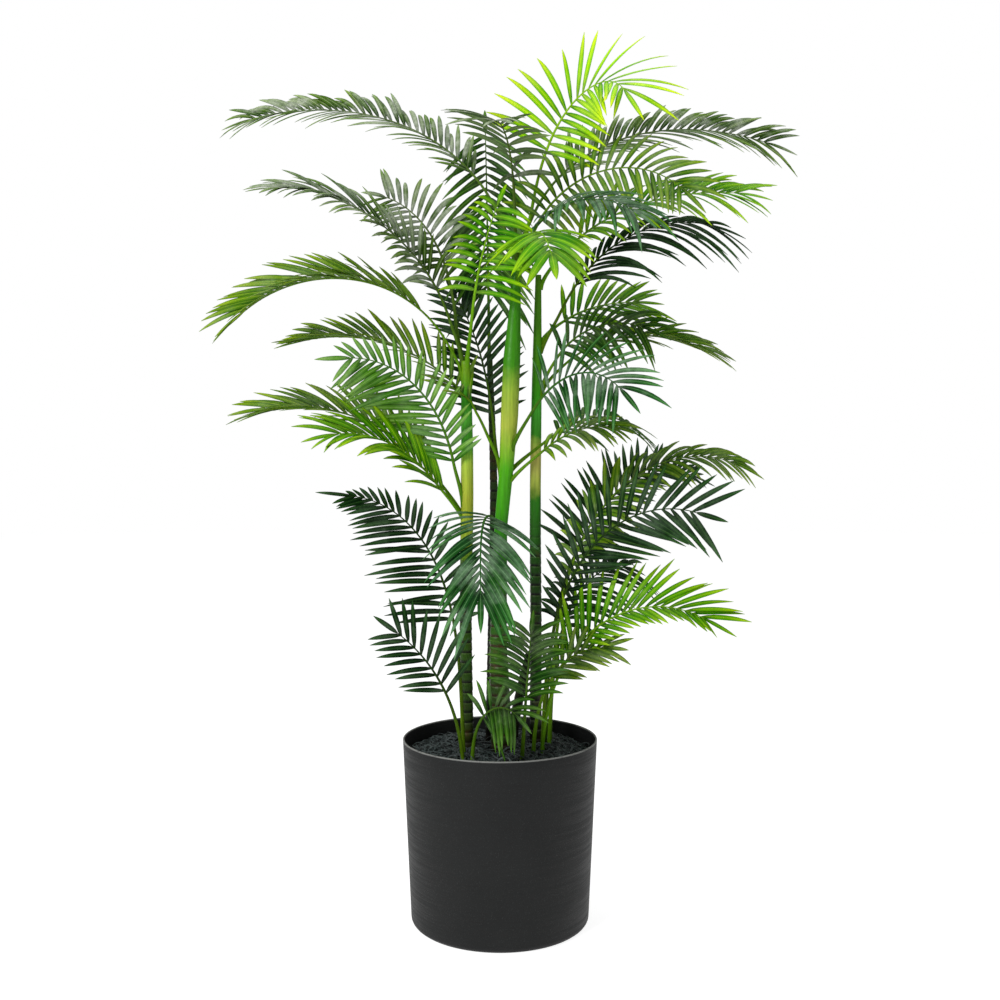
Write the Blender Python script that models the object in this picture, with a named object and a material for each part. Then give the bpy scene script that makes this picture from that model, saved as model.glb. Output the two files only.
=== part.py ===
"""A potted palm: the pot, its filling, five canes and the fronds that grow from them.

Metres, +Z up. The pot's underside is on Z = 0, its axis is the Z axis and the front faces -Y.
Each frond is one body, because its leaflets grow out of its stalk.
"""

import math
from dataclasses import dataclass

import bmesh
import bpy
import numpy as np
from mathutils.bvhtree import BVHTree

# The pot
POT_HEIGHT = 0.378
POT_RIM_RADIUS = 0.200
POT_FOOT_RADIUS = 0.183
POT_WALL = 0.0035
POT_FLOOR = 0.006
POT_FOOT_FILLET = 0.012
FILLET_STEPS = 3
POT_SEGMENTS = 80

# The filling and the fibre that covers it
FILLING_TOP = 0.322
FILLING_SEGMENTS = 48
MOSS_EDGE_TOP = 0.344
MOSS_MIDDLE_TOP = 0.360
MOSS_RINGS = 3
GAP = 0.0005
HOLE_SIDES = 12
HOLE_ROOM = 0.0012
STALK_HOLE_ROOM = 0.002

# The canes
CANE_FOOT = 0.250
CANE_BEVEL_RESOLUTION = 3
CANE_RINGS = 11

# The stalks
STALK_RADIUS = 0.0042
STALK_TIP_RADIUS = 0.0016
STALK_POINTS = 49
BARE_RING_PITCH = 0.022
SHEATH_RADIUS = 0.0052
CANE_ROOM = 0.0016
STALK_ROOM = 0.0050
BEND_SPREAD = 4.0
ROOM_TRIES = 20

# The leaflets
LEAFLET_PITCH = 0.027
LEAFLET_WIDTH = 0.013
LEAFLET_FEWEST = 7
LEAFLET_MOST = 16
LEAFLET_TRIES = (
    (1.0, 0.0), (1.0, 9.0), (1.0, -9.0), (0.8, 0.0), (0.7, 14.0), (0.6, -14.0), (0.45, 0.0), (0.3, 0.0),
)
LEAFLET_ROOM = 0.0008

POT_COLOUR = (0.022, 0.022, 0.023)
FILLING_COLOUR = (0.035, 0.028, 0.022)
MOSS_COLOUR = (0.014, 0.017, 0.020)
DARK = (0.010, 0.045, 0.016)
MIDDLE = (0.045, 0.200, 0.030)
OLIVE = (0.110, 0.190, 0.018)
BRIGHT = (0.260, 0.520, 0.020)


@dataclass(frozen=True)
class Cane:
    """One cane. Each point of its line is (x, y, z, radius), from the foot to the top."""

    name: str
    colour: tuple
    line: tuple


@dataclass(frozen=True)
class Frond:
    """One frond.

    It leaves its root at the height given and heads for the compass angle given: 0 is +X
    and 90 is +Y, away from the front. Its elevation goes from launch to tip, late if bend
    is over 1, while its heading turns by swing. face is the elevation at which its upper
    side looks towards the front, turn what that gains by the tip, and lift raises both rows
    above that side. angles are the leaflets' slopes to the stalk, from the first to the last,
    young and last are the first and the last leaflets' lengths as shares of the full one,
    and rows are the lengths of the left and the right row.
    """

    name: str
    root: str
    height: float
    heading: float
    launch: float
    tip: float
    bend: float
    swing: float
    length: float
    bare: float
    leaflet: float
    colour: tuple
    face: float = 60.0
    turn: float = 0.0
    lift: float = 18.0
    droop: float = 0.25
    angles: tuple = (66.0, 36.0)
    young: float = 0.72
    last: float = 0.70
    rows: tuple = (1.0, 1.0)
    foot: tuple = ()


CANES = (
    Cane("cane_left", MIDDLE, (
        (-0.067, -0.020, CANE_FOOT, 0.0130),
        (-0.067, -0.020, 0.360, 0.0130),
        (-0.070, -0.020, 0.650, 0.0125),
        (-0.067, -0.020, 0.860, 0.0130),
        (-0.067, -0.020, 1.000, 0.0120),
        (-0.070, -0.020, 1.150, 0.0095),
    )),
    Cane("cane_centre", OLIVE, (
        (0.004, -0.030, CANE_FOOT, 0.0220),
        (0.004, -0.030, 0.360, 0.0220),
        (-0.001, -0.030, 0.480, 0.0205),
        (-0.004, -0.030, 0.560, 0.0180),
        (-0.001, -0.030, 0.660, 0.0155),
        (0.005, -0.030, 0.868, 0.0135),
        (0.015, -0.030, 0.950, 0.0150),
        (0.018, -0.030, 1.010, 0.0170),
        (0.025, -0.030, 1.175, 0.0165),
        (0.030, -0.030, 1.247, 0.0120),
        (0.034, -0.030, 1.375, 0.0075),
    )),
    Cane("cane_back", DARK, (
        (-0.022, 0.040, CANE_FOOT, 0.0085),
        (-0.022, 0.040, 0.360, 0.0085),
        (-0.018, 0.040, 0.560, 0.0085),
        (-0.013, 0.040, 0.900, 0.0080),
        (-0.022, 0.040, 1.170, 0.0060),
    )),
    Cane("cane_right", MIDDLE, (
        (0.074, 0.020, CANE_FOOT, 0.0125),
        (0.074, 0.020, 0.360, 0.0125),
        (0.075, 0.020, 0.560, 0.0120),
        (0.073, 0.020, 0.870, 0.0115),
        (0.076, 0.020, 1.110, 0.0102),
        (0.079, 0.020, 1.330, 0.0060),
    )),
    Cane("cane_side", DARK, (
        (0.028, 0.074, CANE_FOOT, 0.0110),
        (0.028, 0.074, 0.340, 0.0110),
        (0.028, 0.074, 0.370, 0.0110),
        (0.042, 0.070, 0.450, 0.0105),
        (0.063, 0.064, 0.545, 0.0080),
    )),
)

FRONDS = (
    Frond("frond_top_1", "cane_centre", 1.355, 350, 81, -52, 2.8, -46, 0.47, 0.44, 0.165, BRIGHT,
          face=16, turn=22, lift=6, droop=0.22, angles=(80, 40), young=0.95, rows=(1.0, 0.66)),
    Frond("frond_top_2", "cane_centre", 1.335, 262, 88, -20, 2.4, -10, 0.34, 0.50, 0.135, OLIVE,
          face=60, lift=12, droop=0.30, angles=(80, 40), rows=(0.8, 1.1)),
    Frond("frond_top_3", "cane_back", 1.130, 98, 86, 80, 1.0, 0, 0.52, 0.34, 0.125, DARK,
          face=5, lift=8, droop=0.35, angles=(132, 112), young=0.9),
    Frond("frond_left_1", "cane_centre", 1.355, 152, 88, -11, 0.7, 18, 0.75, 0.26, 0.140, OLIVE,
          face=60, turn=-14, lift=22, droop=0.26, angles=(46, 40), rows=(0.85, 1.0)),
    Frond("frond_left_2", "cane_left", 1.140, 194, 88, -8, 1.0, 26, 0.55, 0.28, 0.145, OLIVE,
          face=56, turn=8, lift=22, droop=0.30, angles=(52, 26), last=0.5),
    Frond("frond_left_3", "cane_left", 1.135, 158, 88, 20, 2.0, 4, 0.42, 0.48, 0.115, MIDDLE,
          face=26, lift=14, droop=0.32, angles=(72, 46), rows=(0.8, 1.1)),
    Frond("frond_left_4", "cane_left", 1.110, 202, 88, -41, 0.8, -5, 0.54, 0.29, 0.140, OLIVE,
          face=74, turn=-18, lift=30, droop=0.16, angles=(40, 26), rows=(1.0, 0.95)),
    Frond("frond_left_5", "cane_centre", 0.920, 178, 88, -12, 0.9, 5, 0.53, 0.30, 0.130, OLIVE,
          face=60, turn=10, lift=30, droop=0.16, angles=(60, 20), last=0.55),
    Frond("frond_left_6", "cane_left", 0.855, 212, 86, -4, 1.5, 0, 0.42, 0.20, 0.145, MIDDLE,
          face=6, turn=12, lift=6, droop=0.10, angles=(62, 42), young=0.85, last=0.5, rows=(1.05, 0.62)),
    Frond("frond_left_7", "cane_left", 0.832, 182, 71, -11, 1.0, 7, 0.47, 0.28, 0.145, OLIVE,
          face=66, lift=28, droop=0.18, angles=(50, 22)),
    Frond("frond_left_8", "cane_left", 0.830, 208, 60, -8, 1.4, 10, 0.34, 0.18, 0.150, BRIGHT,
          face=54, lift=22, droop=0.22, angles=(34, 30), young=0.9, last=0.6),
    Frond("frond_left_9", "", 0, 193, 88, 6, 3.0, 0, 0.65, 0.46, 0.145, DARK,
          face=18, turn=30, lift=8, droop=0.10, angles=(76, 30), young=0.85, last=0.3, rows=(1.0, 0.55),
          foot=(-0.072, -0.062)),
    Frond("frond_left_10", "", 0, 196, 88, 38, 1.2, 0, 0.33, 0.50, 0.120, DARK,
          face=14, lift=8, droop=0.10, angles=(62, 36), young=0.9, rows=(0.75, 1.0),
          foot=(-0.072, -0.094)),
    Frond("frond_back_1", "cane_centre", 0.895, 136, 88, 54, 1.4, 3, 0.42, 0.34, 0.115, DARK,
          face=10, lift=10, droop=0.14, angles=(66, 34)),
    Frond("frond_front_1", "cane_centre", 1.300, 282, 66, -52, 0.9, 2, 0.30, 0.34, 0.105, BRIGHT,
          face=42, lift=4, droop=0.40, angles=(90, 40), young=0.95),
    Frond("frond_front_2", "cane_centre", 1.345, 310, 88, -32, 0.6, 12, 0.33, 0.20, 0.120, DARK,
          face=60, lift=12, droop=0.36, angles=(64, 34)),
    Frond("frond_front_3", "cane_left", 1.135, 296, 88, 52, 1.0, 8, 0.33, 0.44, 0.105, BRIGHT,
          face=14, lift=8, droop=0.34, angles=(78, 56), young=0.9, rows=(0.8, 1.05)),
    Frond("frond_front_4", "cane_centre", 0.967, 313, 64, -40, 1.4, -4, 0.36, 0.36, 0.130, DARK,
          face=30, lift=8, droop=0.24, angles=(70, 40)),
    Frond("frond_front_5", "cane_centre", 0.815, 254, 34, -84, 1.0, 20, 0.31, 0.24, 0.125, MIDDLE,
          face=34, turn=-20, lift=2, droop=0.34, angles=(76, 30), young=0.85),
    Frond("frond_front_6", "", 0, 285, 80, 74, 1.0, 0, 0.30, 0.54, 0.120, OLIVE,
          face=26, lift=12, droop=0.34, angles=(54, 40), foot=(0.042, -0.098)),
    Frond("frond_front_7", "", 0, 320, 88, -40, 2.4, 10, 0.21, 0.58, 0.090, DARK,
          face=40, lift=10, droop=0.34, angles=(84, 44), young=0.95, foot=(-0.056, -0.096)),
    Frond("frond_right_1", "cane_centre", 1.360, 36, 88, -17, 0.7, -34, 0.70, 0.28, 0.135, OLIVE,
          face=56, turn=-18, lift=20, droop=0.24, angles=(48, 42)),
    Frond("frond_right_2", "cane_centre", 1.315, 341, 88, -44, 1.1, -2, 0.45, 0.26, 0.125, MIDDLE,
          face=26, lift=10, droop=0.30, angles=(84, 50), young=0.85, rows=(1.0, 0.7)),
    Frond("frond_right_3", "cane_right", 1.300, 345, 88, -7, 0.5, 3, 0.46, 0.26, 0.135, BRIGHT,
          face=52, lift=20, droop=0.34, angles=(56, 34)),
    Frond("frond_right_4", "cane_right", 1.170, 0, 72, -13, 1.5, -8, 0.46, 0.32, 0.165, DARK,
          face=46, lift=14, droop=0.42, angles=(40, 28), young=0.95, rows=(0.55, 1.0)),
    Frond("frond_right_5", "cane_right", 1.185, 20, 88, 1, 0.4, -5, 0.24, 0.26, 0.130, BRIGHT,
          face=44, lift=10, droop=0.14, angles=(56, 30)),
    Frond("frond_right_6", "cane_right", 1.075, 2, 88, -22, 0.6, 2, 0.38, 0.30, 0.130, OLIVE,
          face=66, lift=22, droop=0.26, angles=(48, 24)),
    Frond("frond_right_7", "cane_right", 1.075, 335, 88, -20, 1.0, 4, 0.29, 0.34, 0.125, DARK,
          face=42, lift=10, droop=0.36, angles=(64, 40)),
    Frond("frond_right_8", "cane_centre", 0.927, 22, 46, -23, 1.4, 26, 0.35, 0.34, 0.125, OLIVE,
          face=50, lift=16, droop=0.36, angles=(54, 34), rows=(0.7, 0.9)),
    Frond("frond_right_9", "cane_centre", 0.905, 342, 51, -8, 1.6, -6, 0.24, 0.34, 0.100, BRIGHT,
          face=60, lift=16, droop=0.40, angles=(54, 30)),
    Frond("frond_right_10", "", 0, 24, 88, -20, 2.2, 10, 0.84, 0.52, 0.145, DARK,
          face=24, turn=24, lift=10, droop=0.12, angles=(72, 30), young=0.95, last=0.5, rows=(0.9, 0.6),
          foot=(0.094, 0.058)),
    Frond("frond_right_11", "", 0, 322, 88, -16, 2.3, 10, 0.72, 0.42, 0.125, MIDDLE,
          face=4, lift=4, droop=0.06, angles=(58, 40), young=0.34, last=0.9, foot=(0.086, -0.022)),
    Frond("frond_right_12", "", 0, 353, 88, -23, 2.6, -8, 0.85, 0.46, 0.125, BRIGHT,
          face=58, lift=18, droop=0.42, angles=(54, 32), young=0.40, last=0.45, foot=(0.101, 0.016)),
    Frond("frond_right_13", "", 0, 44, 88, -12, 2.5, -8, 0.51, 0.54, 0.125, DARK,
          face=44, lift=12, droop=0.46, angles=(60, 34), foot=(0.104, 0.040)),
    Frond("frond_right_14", "", 0, 341, 88, -28, 1.6, 6, 0.55, 0.42, 0.140, BRIGHT,
          face=32, turn=20, lift=10, droop=0.12, angles=(50, 30), young=0.9, rows=(1.05, 0.5),
          foot=(0.084, -0.044)),
    Frond("frond_right_15", "", 0, 342, 88, -2, 2.1, 4, 0.33, 0.58, 0.090, MIDDLE,
          face=40, lift=12, droop=0.16, angles=(50, 28), foot=(0.066, -0.056)),
)


def clear_scene():
    """Removes every object that the scene starts with."""
    for obj in list(bpy.data.objects):
        bpy.data.objects.remove(obj)


def paint(obj, colour, roughness):
    """Gives obj a Principled material of its own."""
    material = bpy.data.materials.new(obj.name)
    material.use_nodes = True
    shader = material.node_tree.nodes["Principled BSDF"]
    shader.inputs["Base Color"].default_value = (*colour, 1.0)
    shader.inputs["Roughness"].default_value = roughness
    obj.data.materials.append(material)


def add_object(name, data, colour, roughness=0.6):
    """Adds an object that holds data, with its own material."""
    obj = bpy.data.objects.new(name, data)
    bpy.context.scene.collection.objects.link(obj)
    paint(obj, colour, roughness)
    return obj


def turned(name, profile, segments, colour, roughness):
    """A closed body turned about Z. Its (radius, height) profile starts on the axis at the top."""
    mesh = bpy.data.meshes.new(name)
    points = [(radius, 0.0, height) for radius, height in profile]
    mesh.from_pydata(points, [(index, index + 1) for index in range(len(points) - 1)], [])
    obj = add_object(name, mesh, colour, roughness)
    turn = obj.modifiers.new("turn", "SCREW")
    turn.steps = segments
    turn.render_steps = segments
    turn.use_merge_vertices = True
    turn.merge_threshold = 0.0001
    return obj


def outer_radius(height):
    """The pot's outer radius at a height."""
    return POT_FOOT_RADIUS + (POT_RIM_RADIUS - POT_FOOT_RADIUS) * height / POT_HEIGHT


def make_pot():
    """The pot: an open top, a slightly tapered wall and a rounded foot."""
    profile = [(0.0, POT_FLOOR)]
    profile.append((outer_radius(POT_FLOOR) - POT_WALL - POT_FOOT_FILLET / 2, POT_FLOOR))
    profile.append((outer_radius(POT_HEIGHT) - POT_WALL, POT_HEIGHT))
    profile.append((outer_radius(POT_HEIGHT), POT_HEIGHT))
    for step in range(FILLET_STEPS + 1):
        angle = math.radians(90 * step / FILLET_STEPS)
        inset = POT_FOOT_FILLET * (1 - math.cos(angle))
        height = POT_FOOT_FILLET * (1 - math.sin(angle))
        profile.append((outer_radius(POT_FOOT_FILLET) - inset, height))
    profile.append((0.0, 0.0))
    return turned("pot", profile, POT_SEGMENTS, POT_COLOUR, 0.5)


def inner_radius(height):
    """The radius that a filling may have at a height, clear of the pot's wall."""
    inner_foot = outer_radius(POT_FLOOR) - POT_WALL - POT_FOOT_FILLET / 2
    inner_rim = outer_radius(POT_HEIGHT) - POT_WALL
    share = (height - POT_FLOOR) / (POT_HEIGHT - POT_FLOOR)
    facet = math.cos(math.pi / POT_SEGMENTS)
    return (inner_foot + (inner_rim - inner_foot) * share) * facet - GAP


def smooth_line(points, count):
    """Points along a smooth line through the given ones, spaced by height."""
    points = np.array(points, float)
    heights = points[:, 2]
    wanted = np.linspace(heights[0], heights[-1], count)
    slopes = np.gradient(points, heights, axis=0)
    found = []
    for height in wanted:
        index = min(max(np.searchsorted(heights, height) - 1, 0), len(heights) - 2)
        step = heights[index + 1] - heights[index]
        t = (height - heights[index]) / step
        start = (2 * t**3 - 3 * t**2 + 1) * points[index] + (t**3 - 2 * t**2 + t) * step * slopes[index]
        end = (3 * t**2 - 2 * t**3) * points[index + 1] + (t**3 - t**2) * step * slopes[index + 1]
        found.append(start + end)
    return np.array(found)


def make_cane(cane):
    """A closed round rod along the cane's line."""
    curve = bpy.data.curves.new(cane.name, "CURVE")
    curve.dimensions = "3D"
    curve.bevel_depth = 1.0
    curve.bevel_resolution = CANE_BEVEL_RESOLUTION
    curve.use_fill_caps = True
    line = smooth_line(cane.line, CANE_RINGS)
    spline = curve.splines.new("POLY")
    spline.points.add(len(line) - 1)
    for point, (x, y, z, radius) in zip(spline.points, line):
        point.co = (x, y, z, 1.0)
        point.radius = radius
    return add_object(cane.name, curve, cane.colour)


CANE_LINES = {cane.name: smooth_line(cane.line, CANE_RINGS) for cane in CANES}


def cane_at(name, height):
    """A cane's centre and radius at a height."""
    line = CANE_LINES[name]
    return [np.interp(height, line[:, 2], line[:, column]) for column in (0, 1, 3)]


def cut_holes(obj, holes, low, high):
    """Cuts an upright round hole from low to high for each (x, y, radius)."""
    for number, (x, y, radius) in enumerate(holes):
        body = bmesh.new()
        corner = radius / math.cos(math.pi / HOLE_SIDES)
        bmesh.ops.create_cone(
            body, cap_ends=True, segments=HOLE_SIDES, radius1=corner, radius2=corner, depth=high - low
        )
        mesh = bpy.data.meshes.new(f"{obj.name}_cutter_{number}")
        body.to_mesh(mesh)
        body.free()
        cutter = add_object(mesh.name, mesh, MOSS_COLOUR)
        cutter.location = (x, y, (low + high) / 2)
        cutter.hide_render = True
        cutter.display_type = "WIRE"
        cut = obj.modifiers.new(f"hole_{number}", "BOOLEAN")
        cut.operation = "DIFFERENCE"
        cut.solver = "EXACT"
        cut.object = cutter


def make_filling(holes):
    """The block that the canes are set in, with a socket for each cane."""
    foot = POT_FLOOR + GAP
    profile = [(0.0, FILLING_TOP), (inner_radius(FILLING_TOP), FILLING_TOP), (inner_radius(foot), foot), (0.0, foot)]
    filling = turned("potting_soil", profile, FILLING_SEGMENTS, FILLING_COLOUR, 0.95)
    cut_holes(filling, holes, CANE_FOOT - GAP, FILLING_TOP + 0.02)
    return filling


def moss_top(radius):
    """The height of the fibre's top at a distance from the pot's axis."""
    share = radius / inner_radius(MOSS_EDGE_TOP)
    return MOSS_EDGE_TOP + (MOSS_MIDDLE_TOP - MOSS_EDGE_TOP) * (1 - share * share)


def make_moss(holes):
    """The fibre on top: a low mound with room for every cane and stalk."""
    foot = FILLING_TOP + GAP
    edge = inner_radius(MOSS_EDGE_TOP)
    profile = [(0.0, MOSS_MIDDLE_TOP)]
    for ring in range(MOSS_RINGS + 1):
        radius = edge * (0.1 + 0.9 * ring / MOSS_RINGS)
        profile.append((radius, moss_top(radius)))
    profile.extend(((inner_radius(foot), foot), (0.0, foot)))
    moss = turned("moss_mulch", profile, FILLING_SEGMENTS, MOSS_COLOUR, 0.95)
    cut_holes(moss, holes, FILLING_TOP - 0.01, MOSS_MIDDLE_TOP + 0.02)
    return moss


def headings(frond, shares):
    """The heading in radians at each share of the frond's length."""
    return np.radians(frond.heading + frond.swing * shares)


def outward(frond):
    """The level direction in which the frond leaves its root."""
    heading = math.radians(frond.heading)
    return np.array((math.cos(heading), math.sin(heading)))


def push_off_canes(line, out):
    """Moves a stalk's points out of every cane that they would enter."""
    for name, rings in CANE_LINES.items():
        for point in line:
            if point[2] > rings[-1][2] + 3 * SHEATH_RADIUS:
                continue
            x, y, radius = cane_at(name, point[2])
            away = point[:2] - (x, y)
            distance = np.linalg.norm(away)
            needed = radius + SHEATH_RADIUS + CANE_ROOM
            if distance < needed:
                away = away / distance if distance > GAP else out
                point[:2] = np.array((x, y)) + away * needed


def centre_line(frond):
    """The stalk's centre line, from its root to its last leaflet."""
    shares = np.linspace(0, 1, STALK_POINTS)
    middles = (shares[:-1] + shares[1:]) / 2
    elevation = np.radians(frond.launch + (frond.tip - frond.launch) * middles**frond.bend)
    heading = headings(frond, middles)
    steps = np.stack([
        np.cos(elevation) * np.cos(heading),
        np.cos(elevation) * np.sin(heading),
        np.sin(elevation),
    ], axis=1) * frond.length / (STALK_POINTS - 1)
    out = outward(frond)
    if frond.root:
        x, y, radius = cane_at(frond.root, frond.height)
        reach = radius + SHEATH_RADIUS + CANE_ROOM
        start = np.array((x + reach * out[0], y + reach * out[1], frond.height))
    else:
        start = np.array((*frond.foot, FILLING_TOP + 2 * GAP))
    return np.vstack([start, start + np.cumsum(steps, axis=0)])


def stalk_radii():
    """The stalk's radius at each point of its centre line."""
    return np.linspace(STALK_RADIUS, STALK_TIP_RADIUS, STALK_POINTS)


def push_off_stalk(line, other, radii):
    """Bends a stalk a little where it would touch another. Says whether it had to."""
    apart = line[:, None] - other[None]
    distance = np.linalg.norm(apart, axis=2)
    short = radii[:, None] + radii[None] + STALK_ROOM - distance
    i, j = np.unravel_index(np.argmax(short), short.shape)
    if short[i, j] <= 0:
        return False
    way = apart[i, j] / max(distance[i, j], GAP)
    spread = np.exp(-(((np.arange(STALK_POINTS) - i) / BEND_SPREAD) ** 2))
    if i > 0:
        spread[0] = 0
    line += spread[:, None] * way * (short[i, j] + GAP)
    return True


def placed_lines():
    """Every frond's centre line, clear of the canes and of the stalks placed before it."""
    radii = stalk_radii()
    placed = []
    for frond in FRONDS:
        line = centre_line(frond)
        push_off_canes(line, outward(frond))
        for _ in range(ROOM_TRIES):
            moved = [push_off_stalk(line, other, radii) for other in placed]
            push_off_canes(line, outward(frond))
            if not any(moved):
                break
        placed.append(line)
    return placed


def frames(frond, line):
    """The stalk's direction, its left and its upper side at each point."""
    along = np.gradient(line, axis=0)
    along /= np.linalg.norm(along, axis=1)[:, None]
    look = np.radians(frond.face + frond.turn * np.linspace(0, 1, STALK_POINTS)**2)
    up = np.stack([np.zeros(STALK_POINTS), -np.cos(look), np.sin(look)], axis=1)
    up -= along * (up * along).sum(axis=1)[:, None]
    up /= np.linalg.norm(up, axis=1)[:, None]
    return along, np.cross(up, along), up


class FrondBody:
    """One frond: a three-sided stalk whose side faces rise into leaflets."""

    def __init__(self, frond, line):
        self.frond = frond
        self.line = line
        self.along, self.left, self.up = frames(frond, line)
        self.body = bmesh.new()
        self.leaflet_sides = []
        self.leaflets = []
        self.build_stalk()

    def at(self, rows, share):
        """One row's value at a share of the length."""
        place = share * (STALK_POINTS - 1)
        index = min(int(place), STALK_POINTS - 2)
        return rows[index] + (rows[index + 1] - rows[index]) * (place - index)

    def leaflet_count(self):
        """How many leaflets stand on each side."""
        leafy = self.frond.length * (1 - self.frond.bare)
        return int(min(max(round(leafy / LEAFLET_PITCH), LEAFLET_FEWEST), LEAFLET_MOST))

    def ring(self, share):
        """The corners of the stalk's section: upper left, upper right and below."""
        radius = self.at(stalk_radii(), share)
        centre = self.at(self.line, share)
        left = self.at(self.left, share) * radius
        up = self.at(self.up, share) * radius
        return centre + left + up * 0.5, centre - left + up * 0.5, centre - up

    def ring_shares(self):
        """Where the stalk's rings are, and which of them start a pair of leaflets."""
        frond = self.frond
        bare_rings = max(round(frond.length * frond.bare / BARE_RING_PITCH), 2)
        shares = list(np.linspace(0, frond.bare, bare_rings, endpoint=False))
        count = self.leaflet_count()
        pitch = (1 - frond.bare) / count
        width = min(LEAFLET_WIDTH / frond.length, 0.6 * pitch)
        pairs = {}
        for number in range(count):
            share = frond.bare + pitch * number
            pairs[len(shares)] = number
            shares.extend((share, share + width))
        shares.append(1.0)
        return shares, pairs

    def build_stalk(self):
        """Extrudes the stalk's section from ring to ring and draws its end to a point."""
        shares, pairs = self.ring_shares()
        corners = [self.body.verts.new(corner) for corner in self.ring(0.0)]
        section = self.body.faces.new(corners)
        for number, share in enumerate(shares[1:]):
            before = corners
            made = bmesh.ops.extrude_face_region(self.body, geom=[section])["geom"]
            if number > 0:
                bmesh.ops.delete(self.body, geom=[section], context="FACES_ONLY")
            copies = [item for item in made if isinstance(item, bmesh.types.BMVert)]
            section = next(item for item in made if isinstance(item, bmesh.types.BMFace))
            corners = [min(copies, key=lambda copy: (copy.co - vert.co).length) for vert in before]
            if number in pairs:
                self.note_leaflets(before, corners, pairs[number])
            for vert, corner in zip(corners, self.ring(share)):
                vert.co = corner
        frond = self.frond
        end = self.line[-1] + self.along[-1] * frond.leaflet * 0.5
        end[2] -= frond.leaflet * frond.droop * 0.3
        poked = bmesh.ops.poke(self.body, faces=[section])
        poked["verts"][0].co = end

    def note_leaflets(self, before, after, number):
        """Keeps the two side faces between two rings, for a pair of leaflets."""
        for one, two, side in ((0, 2, 1), (1, 2, -1)):
            wanted = {before[one], before[two], after[one], after[two]}
            face = next(face for face in before[two].link_faces if set(face.verts) == wanted)
            self.leaflet_sides.append((face, number, side))

    def tree(self):
        """The body as it is now, with its bounds."""
        self.body.verts.index_update()
        points = [vert.co[:] for vert in self.body.verts]
        faces = [[vert.index for vert in face.verts] for face in self.body.faces]
        return bounded_tree(points, faces)

    def leaflet_apex(self, root, number, side, size, turn):
        """Where a leaflet ends. side is 1 on the stalk's left and -1 on its right."""
        frond = self.frond
        share = (number + 0.5) / self.leaflet_count()
        place = frond.bare + (1 - frond.bare) * share
        sideways = self.at(self.left, place) * side
        first, last = frond.angles
        angle = math.radians(first + (last - first) * share)
        lift = math.radians(frond.lift + turn)
        swell = frond.young + (1 - frond.young) * math.sin(math.pi / 2 * min(share * 2.2, 1))
        row = frond.rows[0] if side > 0 else frond.rows[1]
        reach = frond.leaflet * row * size * swell * (1 - (1 - frond.last) * share**3)
        out = sideways * math.cos(lift) + self.at(self.up, place) * math.sin(lift)
        apex = root + (self.at(self.along, place) * math.cos(angle) + out * math.sin(angle)) * reach
        apex[2] -= frond.droop * reach
        return apex

    def grow_leaflets(self, others):
        """Pokes each side face out to a leaflet that touches nothing placed before it."""
        for face, number, side in self.leaflet_sides:
            corners = [np.array(vert.co) for vert in face.verts]
            root = sum(corners) / 4
            for size, turn in LEAFLET_TRIES:
                apex = self.leaflet_apex(root, number, side, size, turn)
                tree = leaflet_tree(corners, root, apex)
                if any(overlaps(tree, other) for other in others + self.leaflets):
                    continue
                self.leaflets.append(tree)
                poked = bmesh.ops.poke(self.body, faces=[face])
                poked["verts"][0].co = apex
                break

    def finish(self):
        """Adds the frond to the scene."""
        bmesh.ops.recalc_face_normals(self.body, faces=self.body.faces)
        if self.body.calc_volume(signed=True) < 0:
            bmesh.ops.reverse_faces(self.body, faces=self.body.faces)
        mesh = bpy.data.meshes.new(self.frond.name)
        self.body.to_mesh(mesh)
        self.body.free()
        return add_object(self.frond.name, mesh, self.frond.colour, 0.45)


def leaflet_tree(corners, root, apex):
    """A leaflet a little larger than its own shape, with its bounds, for finding what it touches."""
    out = apex - root
    start = [root + (corner - root) * 1.15 + out * 0.06 for corner in corners]
    end = [apex + out * 0.02 + (corner - root) * LEAFLET_ROOM / 0.004 for corner in corners]
    points = [tuple(point) for point in start + end]
    faces = [(0, 1, 2, 3), (7, 6, 5, 4)]
    for corner in range(4):
        after = (corner + 1) % 4
        faces.append((corner, after, 4 + after, 4 + corner))
    low = np.min(points, axis=0)
    high = np.max(points, axis=0)
    return BVHTree.FromPolygons(points, faces), low, high


def bounded_tree(points, faces):
    """A body with its bounds."""
    return BVHTree.FromPolygons(points, faces), np.min(points, axis=0), np.max(points, axis=0)


def overlaps(one, other):
    """Whether two bodies with bounds touch."""
    if (one[1] > other[2]).any() or (other[1] > one[2]).any():
        return False
    return bool(one[0].overlap(other[0]))


def object_tree(obj):
    """A made object with its bounds."""
    made = obj.evaluated_get(bpy.context.evaluated_depsgraph_get())
    mesh = made.to_mesh()
    points = [vertex.co[:] for vertex in mesh.vertices]
    faces = [tuple(polygon.vertices) for polygon in mesh.polygons]
    made.to_mesh_clear()
    return bounded_tree(points, faces)


def make_fronds(lines, fixed):
    """Every frond, each clear of the pot, the canes and the other fronds."""
    fronds = [FrondBody(frond, line) for frond, line in zip(FRONDS, lines)]
    stalks = [frond.tree() for frond in fronds]
    placed = []
    for index, frond in enumerate(fronds):
        frond.grow_leaflets(fixed + stalks[:index] + stalks[index + 1:] + placed)
        placed.extend(frond.leaflets)
        frond.finish()


def cane_holes(room):
    """An upright hole for each cane's foot."""
    holes = []
    for cane in CANES:
        x, y, _, radius = cane.line[0]
        holes.append((x, y, radius + room))
    return holes


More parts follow.
